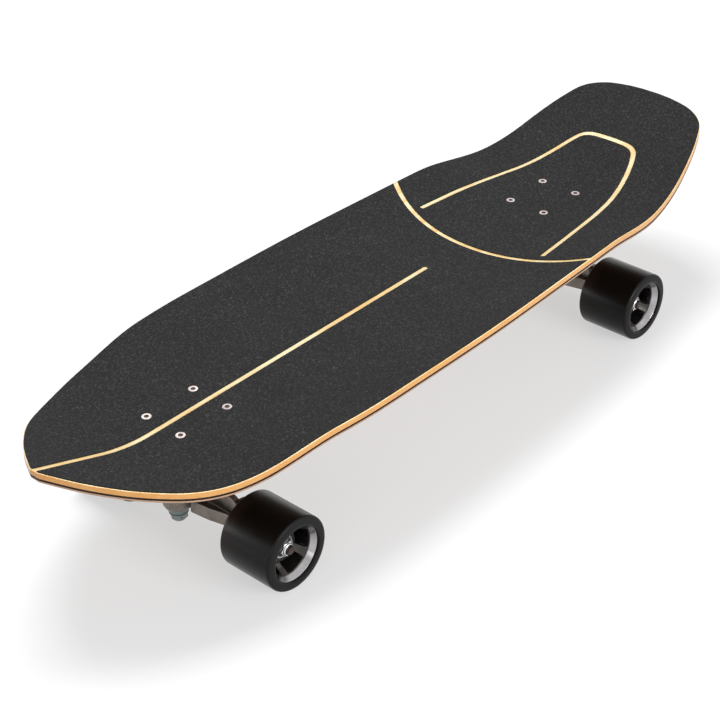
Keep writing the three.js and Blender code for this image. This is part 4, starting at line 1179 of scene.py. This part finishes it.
# %% Hanger
def hanger_body():
    stations = hanger_stations()
    places = np.array([y for y, _ in stations])
    rings = np.array([section for _, section in stations], float)
    spans = [np.linspace(a, b, section_steps)[:-1] for a, b in zip(places, places[1:])]
    spans = np.concatenate([*spans, places[-1:]])
    sections = []
    for y in [*(-spans[:0:-1]), *spans]:
        ring = [[np.interp(abs(y), places, rings[:, i, k]) for k in (0, 1)] for i in range(rings.shape[1])]
        sections.append([(x, y, z) for x, z in ring])
    return lofted("hanger_body", sections)


def pivot_nose():
    root = Vector((ring_x, 0, (ring_low + ring_high) / 2)).lerp(pivot_place, 0.46)
    length = (pivot_place - root).length
    nose = upright("nose", [
        (0, -length - 4), (pivot_root, -length - 4), (pivot_root, -length), (pivot_tip, 0),
        *arc((0, 0), pivot_tip, 0, 90, 10)[1:]], 48)
    return placed(nose, *pivot_place, turn=lean_turn)


def make_hanger():
    ring_side, ring_top = ring_radius - skin_allowance, ring_high - skin_allowance
    ring = upright("ring", [
        (0, ring_low), (ring_low_radius, ring_low), (ring_side, ring_low + ring_taper),
        (ring_side, ring_top), (0, ring_top)])
    web = side_prism(web_outline, web_width, "web")
    parts = [hanger_body(), placed(ring, ring_x), pivot_nose(), web]
    hanger = cast_skin(joined("hanger", parts), hanger_grain)
    seat, low_seat = bushing_radius + bushing_clearance, low_bushing_radius + bushing_clearance
    axle_hole = axle_radius + axle_clearance
    bores = [placed(bore, ring_x) for bore in (
        drum(seat, ring_high - seat_depth, far_above, 64), drum(low_seat, 0, ring_low + seat_depth, 64),
        drum(seat, far_below, ring_low + 0.05, 64), drum(ring_bore, far_below, far_above))]
    bores.append(turned("axle_bore", [(0, -90), (axle_hole, -90), (axle_hole, 90), (0, 90)], 32))
    for sign in (1, -1):
        near, far = sign * (hanger_half - 0.1), sign * far_out
        bores.append(turned("end_face", [(0, near), (20, near), (20, far), (0, far)], 32))
    return crisp(carve(hanger, bores), 38)


hanger_form = make_hanger()
for end in axle_places:
    piece = at_axle(twin(hanger_form, f"{end}_cast_hanger"), end)
    mounted(piece, f"{end}_truck", [f"{end}_hanger"], cast_metal)
cleared([hanger_form])
print("hangers:", len(piece.data.polygons), "faces each")

# %% [markdown]
# An axle is a plain rod with a thread rolled on each end and a small centre hole, where the lathe held
# it. It shows only past the nuts, and it is painted dark brown, darker than they are, as painted shade
# at its end in the nut's hollow.

# %% Axles
axle_half, thread_length, axle_pitch, coarse_depth = 115.4, 15, 1.06, 0.35


def make_axle():
    plain, radius = axle_half - thread_length, axle_radius - 0.05
    parts = [turned("axle_rod", [(0, -plain), (radius, -plain), (radius, plain), (0, plain)], 40)]
    for quarters in (-1, 1):
        tip = threaded_rod("axle_thread", axle_radius - 0.1, axle_half - thread_length - 1, axle_half,
                           axle_pitch, coarse_depth)
        carve(tip, [drum(0.2, axle_half - 1.6, axle_half + 0.2, 24, small=1.7)])
        parts.append(tipped(tip, quarters))
    return crisp(joined("axle", parts), 30)


axle_form = make_axle()
for end in axle_places:
    piece = at_axle(twin(axle_form, f"{end}_threaded_axle"), end)
    mounted(piece, f"{end}_truck", [f"{end}_axle"], shaded_axle_steel)
cleared([axle_form])
print("axles threaded at both ends")

# %% [markdown]
# A kingpin runs down through each hanger's ring. From the board side it carries a washer, a tall
# urethane bushing, the ring, a short conical bushing, a cup washer and a lock nut. Only the nut shows in
# the photo, as a blue-grey dome under the nose, but the whole stack is there from below.

# %% Kingpin stacks
pin_radius, stack_bore, washer_thickness, cup_thickness = 4.75, 5.05, 1.5, 2.5
pin_nut_height, pin_past_nut, pin_across, pin_pitch = 5.6, 0.9, 14.2, 1.1
board_bushing, road_bushing, road_radius, cup_radius_top = 13, 8, 8.7, 8.8
pin_floor, pin_head_height, collar_radius = 5.5, 6, 7.0
seat_high, seat_low = ring_high - seat_depth, ring_low + seat_depth
board_top = seat_high + board_bushing
board_middle = (seat_high + board_top) / 2
washer_top = board_top + washer_thickness
road_end = seat_low - road_bushing
cup_end = road_end - cup_thickness
pin_nut_end = cup_end - pin_nut_height
head_low = washer_top + pin_floor
collar_low = pin_nut_end + 0.1

stack_profiles = {
    "tall_bushing": [
        (stack_bore, seat_high + 0.3), (stack_bore + 0.3, seat_high), (bushing_radius - 1.1, seat_high),
        (bushing_radius - 0.4, seat_high + 0.7), (bushing_radius - 0.1, seat_high + seat_depth),
        (bushing_radius, board_middle - 2), (bushing_radius, board_middle + 2),
        (bushing_radius - 0.2, board_top - 1.2), (bushing_radius - 1, board_top),
        (stack_bore + 0.3, board_top), (stack_bore, board_top - 0.3)],
    "cone_bushing": [
        (stack_bore, road_end + 0.3), (stack_bore + 0.3, road_end), (road_radius - 0.8, road_end),
        (road_radius, road_end + 0.8), (low_bushing_radius - 0.5, seat_low - seat_depth),
        (low_bushing_radius - 0.1, seat_low - 1.2), (low_bushing_radius - 0.6, seat_low),
        (stack_bore + 0.3, seat_low), (stack_bore, seat_low - 0.3)],
    "flat_washer": [
        (stack_bore, board_top), (bushing_radius - 0.3, board_top), (bushing_radius, board_top + 0.3),
        (bushing_radius, washer_top - 0.3), (bushing_radius - 0.3, washer_top), (stack_bore, washer_top)],
    "cup_washer": [
        (stack_bore, road_end), (cup_radius_top, road_end), (cup_radius_top, road_end - 0.7),
        (cup_radius_top - 0.5, cup_end + 0.4), (cup_radius_top - 1.1, cup_end), (stack_bore, cup_end)],
}
stack_forms = {name: upright(name, profile, 72, True) for name, profile in stack_profiles.items()}
stack_forms["kingpin_bolt"] = joined("kingpin", [
    drum(pin_radius, pin_nut_end + 2, head_low, 40),
    threaded_rod("kingpin_thread", pin_radius - 0.05, pin_nut_end - pin_past_nut, pin_nut_end + 2.5,
                 pin_pitch, coarse_depth, 36),
    hex_nut("kingpin_head", pin_across, head_low - 0.3, head_low + pin_head_height, 0)])
stack_forms["kingpin_lock_nut"] = lock_nut(
    "kingpin_nut", hex_nut("kingpin_nut", pin_across, collar_low + 1.8, cup_end, stack_bore), [
        (stack_bore, collar_low + 2), (stack_bore, collar_low + 0.4), (stack_bore + 0.4, collar_low),
        (stack_bore + 0.9, collar_low), (collar_radius, collar_low + 1.6), (collar_radius, collar_low + 2),
    ], 56)
stack_parts = [
    ("kingpin_bolt", "kingpin", "steel", zinc_plate),
    ("kingpin_lock_nut", "kingpin_nut", "zinc", zinc_plate),
    ("tall_bushing", "bushing_boardside", "bushing", bushing_urethane),
    ("cone_bushing", "bushing_roadside", "bushing", bushing_urethane),
    ("flat_washer", "washer_boardside", "zinc", zinc_plate),
    ("cup_washer", "washer_roadside", "zinc", zinc_plate),
]
for end, body in (("front", "front_swing"), ("rear", "board")):
    for suffix, cad_name, slot, finish in stack_parts:
        piece = at_axle(twin(stack_forms[suffix], f"{end}_{suffix}"), end, ring_x)
        mounted(crisp(piece, 32), body, [f"{end}_{cad_name}"], finish)
cleared(stack_forms.values())
print("two kingpin stacks of", len(stack_parts), "pieces")

# %% [markdown]
# The plates and the swing arm are castings too. Each is a few plain solids melted into one skin, then
# machined: bolt holes, the kingpin's well, the pivot cup's bore, and on the front the slanted face with
# its pivot bolt, thrust bearing and spring pocket.

# %% The front truck's slant
truck_height, plate_length, plate_width, plate_corner = 79.1, 94, 56, 9
tower_width, cup_radius, cup_length, cup_floor, boss_wall = 32, 7.8, 12, 2.2, 3.4
nut_pocket, bolt_hole, head_well, casting_grain = 7, 2.8, 8.8, 0.8
arm_tilt, arm_back, arm_thick, arm_gap = math.radians(20), 33, 11, 0.5
arm_big, arm_small, arm_bolt, arm_head, arm_head_seat = 22, 18, 6, 10, 6.5
arm_bolt_low, arm_bolt_across, arm_bolt_head = -9.2, 17.3, 4.5
bearing_ring_radius, thrust_inner, thrust_half, swing_clearance = 16, 8.5, 1.7, 0.75
slant_lead, slant_reach, below_all = 8.2, 80, -10
spring_forward, spring_length, spring_radius, spring_wire, spring_turns = 38, 30, 4.8, 0.9, 7
spring_clearance, wedge_nose, wedge_width = 0.7, 36, 48
plate_low = truck_height - plate_thickness
post_radius = bushing_radius + boss_wall


def slant_height(x):
    slant_base = head_low + pin_head_height + arm_gap
    return slant_base + (slant_lead + ring_x - x) * math.tan(arm_tilt)


arm_pivot = Vector((-arm_back, 0, slant_height(-arm_back)))
arm_turn = Matrix.Rotation(arm_tilt, 3, "Y")


def on_slant(piece):
    return placed(piece, *arm_pivot, turn=arm_turn)


print(f"slant {math.degrees(arm_tilt):.0f} degrees, {arm_pivot.z:.1f} mm up at the arm's bolt")

# %% [markdown]
# Some cuts come back in every casting: bolt holes with room for their nuts, the kingpin's well, the
# pivot cup's bore and the spring's pocket.

# %% Cuts that the castings share
def rounded_plate(centre):
    """A base plate, a little tall because its skin is trimmed afterwards."""
    x, y = plate_length / 2 - plate_corner, plate_width / 2 - plate_corner
    outline = []
    for sx, sy, start in ((1, 1, 0), (-1, 1, 90), (-1, -1, 180), (1, -1, 270)):
        outline += arc((centre + sx * x, sy * y), plate_corner, start, start + 90)
    return prism(outline, plate_low, truck_height + 0.6, "plate")


def plate_cuts(centre):
    cuts = []
    for x, y in bolt_plan(centre):
        cuts += [placed(drum(bolt_hole, 20, truck_height + 4, 32), x, y),
                 placed(drum(nut_pocket, 0, plate_low, 40), x, y)]
    return cuts


def kingpin_cuts():
    return [placed(drum(stack_bore, washer_top - 1, head_low + 1, 40), ring_x),
            placed(drum(head_well, head_low - 0.3, truck_height + 4), ring_x)]


def cup_cut():
    bore = drum(cup_radius + 0.3, -pivot_reach / 2, pivot_tip + 0.4 + cup_floor + 0.3)
    return placed(bore, *pivot_place, turn=lean_turn)


def spring_pocket():
    across = spring_radius + spring_clearance
    return on_slant(block(spring_forward - spring_radius, spring_forward + across,
                          spring_length / 2 + spring_clearance, -across, across))


def pivot_leg(top):
    wide, tip = cup_radius + boss_wall, pivot_place
    low, front = tip.z - wide - 2.5, tip.x + cup_length / 3
    return side_prism([
        (front, low + 2.5), (front, top), (tip.x - cup_length - boss_wall, top),
        (tip.x - cup_length, low + wide), (tip.x - cup_length / 2, low)], 2 * wide)


def machined(piece, cuts, box):
    """Cuts a casting and keeps it inside its box, so no soft corner stands proud."""
    carve(piece, cuts)
    return crisp(carve(piece, [box], "INTERSECT"), 38)


print("shared cuts ready")

# %% [markdown]
# The rear plate carries its kingpin and its pivot cup itself. The front ones are shared out: a slanted
# base stays on the board, and the arm under it turns and carries kingpin and cup.

# %% Base plates and swing arm
def make_rear_plate():
    centre, arch = 13.3, head_low + pin_head_height
    back = pivot_place.x - cup_length - boss_wall
    half_width = plate_width / 2
    tower = side_prism([
        (ring_x + post_radius, head_low), (centre + plate_length / 2 - plate_corner, plate_low + 1),
        (back + boss_wall, plate_low + 1), (back, arch), (pivot_place.x + cup_length / 3, arch),
        (ring_x - post_radius, washer_top + 2 * pin_floor), (ring_x - post_radius, head_low),
    ], tower_width)
    post = placed(drum(post_radius, washer_top - 0.6, plate_low + 1, 64), ring_x)
    skin = cast_skin(joined("rear_plate", [rounded_plate(centre), tower, post, pivot_leg(arch + 1)]),
                     casting_grain)
    box = block(back - 1, centre + plate_length / 2, half_width, washer_top, truck_height)
    low_leg = block(back - 1, ring_x - post_radius - 2, half_width, 0, washer_top + 0.1)
    carve(box, [low_leg], "UNION")
    return machined(skin, [*kingpin_cuts(), cup_cut(), *plate_cuts(centre)], box)


def make_front_base():
    centre, half = 1, plate_length / 2
    back = centre - half
    wedge = side_prism([
        (wedge_nose, slant_height(wedge_nose) - 1), (wedge_nose + boss_wall, plate_low + 1),
        (back, plate_low + 1), (back, slant_height(back) - 1)], wedge_width)
    skin = cast_skin(joined("front_base", [rounded_plate(centre), wedge]), casting_grain)
    ends = -slant_reach, slant_reach
    below = [(x, slant_height(x)) for x in ends] + [(x, below_all) for x in reversed(ends)]
    cuts = [
        side_prism(below, 90),
        on_slant(drum(arm_bolt + 0.6, -far_above, far_above)),
        on_slant(drum(arm_head + swing_clearance, arm_head_seat, far_above)),
        on_slant(drum(bearing_ring_radius + 0.3, -1, 2, 64)),
        spring_pocket(), *plate_cuts(centre),
    ]
    return machined(skin, cuts, block(back, centre + half, plate_width / 2, 0, truck_height))


def make_swing_arm():
    reach = (ring_x + arm_back) / math.cos(arm_tilt)
    lean = math.asin((arm_big - arm_small) / reach)
    outline = arc_points((0, 0), arm_big, math.pi / 2 - lean, 3 * math.pi / 2 + lean, 32)
    outline += arc_points((reach, 0), arm_small, -math.pi / 2 + lean, math.pi / 2 - lean, 24)
    bar = on_slant(prism(outline, -arm_gap - arm_thick, -arm_gap + 1))
    middle = arm_gap + arm_thick / 2
    post = placed(drum(post_radius, washer_top - 0.8, slant_height(ring_x) - middle, 64), ring_x)
    leg = pivot_leg(slant_height(pivot_place.x) - middle)
    skin = cast_skin(joined("swing_arm", [bar, post, leg]), casting_grain)
    cuts = [
        on_slant(block(-60, 90, 40, -arm_gap, 40)),
        placed(drum(arm_big, -far_above, washer_top, 64), ring_x),
        on_slant(drum(arm_bolt + 0.3, arm_bolt_low - 0.3, 10)),
        on_slant(drum(bearing_ring_radius + swing_clearance, -thrust_half - 0.6, 10, 64)),
        spring_pocket(), cup_cut(), *kingpin_cuts(),
    ]
    return crisp(carve(skin, cuts), 38)


for make, name, end, body, cad_name in (
    (make_front_base, "front_slant_base", "front", "board", "front_base"),
    (make_swing_arm, "front_swing_arm", "front", "front_swing", "swing_arm"),
    (make_rear_plate, "rear_truck_base", "rear", "board", "rear_baseplate"),
):
    piece = at_axle(make(), end)
    piece.name = name
    mounted(piece, body, [cad_name], cast_metal)
    print(f"{name}: {len(piece.data.polygons)} faces")

# %% [markdown]
# A coil spring lies across the slant and brings the arm back to the middle. A spiral curve with a round
# section swept along it is exactly what Geometry Nodes are for: turns, radius, length and wire are the
# tree's inputs.

# %% Centring spring
def spring_tree():
    tree, entry, leave, sockets = named_tree("coil_spring", {
        "Turns": "Float", "Coil radius": "Float", "Length": "Float", "Wire radius": "Float",
        "Finish": "Material"})
    given = entry.outputs
    spiral = node(tree, "GeometryNodeCurveSpiral", {
        "Resolution": 40, "Rotations": given["Turns"], "Start Radius": given["Coil radius"],
        "End Radius": given["Coil radius"], "Height": given["Length"]})
    ring = node(tree, "GeometryNodeCurvePrimitiveCircle", {"Resolution": 14, "Radius": given["Wire radius"]})
    sweep = node(tree, "GeometryNodeCurveToMesh", {
        "Curve": spiral.outputs[0], "Profile Curve": ring.outputs[0], "Fill Caps": True})
    real = node(tree, "GeometryNodeRealizeInstances", {0: sweep.outputs[0]})
    paint = node(tree, "GeometryNodeSetMaterial", {"Geometry": real.outputs[0], "Material": given["Finish"]})
    tree.links.new(paint.outputs[0], leave.inputs[0])
    return tree, sockets


spring = grown("centring_coil", [(0, 0, 0)], *spring_tree(), {
    "Turns": float(spring_turns), "Coil radius": (spring_radius - spring_wire) * MM,
    "Length": (spring_length - 2 * spring_wire) * MM, "Wire radius": spring_wire * MM,
    "Finish": spring_steel})
tipped(placed(spring, z=-(spring_length / 2 - spring_wire)))
at_axle(on_slant(placed(spring, x=spring_forward)), "front")
spring.data.shade_smooth()
mounted(spring, "board", ["centring_spring"])
print("centring spring:", len(spring.data.polygons), "faces")

# %% [markdown]
# The last small parts let the trucks turn: the bolt that the arm hangs on, the thrust ring between arm
# and base, and the urethane cups that the hangers' noses sit in.

# %% Arm bolt, thrust ring and pivot cups
def arm_bolt_form():
    high = arm_head_seat + 0.3
    head = hex_nut("arm_bolt_head", arm_bolt_across, high, high + arm_bolt_head, 0)
    return on_slant(joined("arm_bolt", [drum(arm_bolt, arm_bolt_low, high + 0.3), head]))


def thrust_ring_form():
    inner, outer, half = thrust_inner, bearing_ring_radius, thrust_half
    return on_slant(upright("thrust_ring", both_sides([
        (inner, 0.2 - half), (inner + 0.2, -half), (outer - 0.3, -half), (outer, 0.3 - half),
        (outer, -0.4), (outer - 0.5, -0.2)]), 72, True))


def pivot_cup_form():
    inner = pivot_tip + 0.4
    end = inner + cup_floor
    mouth = end - cup_length
    cup = upright("pivot_cup", [
        (0, inner), (inner * 0.6, inner * 0.8), (inner, inner * 0.2), (inner, 0), (inner + 0.4, mouth),
        (cup_radius - 0.4, mouth), (cup_radius, mouth + 0.4), (cup_radius, end - 0.5),
        (cup_radius - 0.5, end), (0, end)])
    return placed(cup, *pivot_place, turn=lean_turn)


for make, name, end, body, cad_name, slot, finish in (
    (arm_bolt_form, "arm_bolt", "front", "front_swing", "arm_pivot_bolt", "steel", bright_steel),
    (thrust_ring_form, "thrust_ring", "front", "board", "arm_thrust_bearing", "steel", bright_steel),
    (pivot_cup_form, "front_cup", "front", "front_swing", "front_pivot_cup", "bushing", bushing_urethane),
    (pivot_cup_form, "rear_cup", "rear", "board", "rear_pivot_cup", "bushing", bushing_urethane),
):
    piece = crisp(at_axle(make(), end), 32)
    piece.name = name
    mounted(piece, body, [cad_name], finish)
print("arm bolt, thrust ring and pivot cups")

# %% [markdown]
# Every piece is now made and mounted on the frame.

# %% The end
print("all pieces mounted")
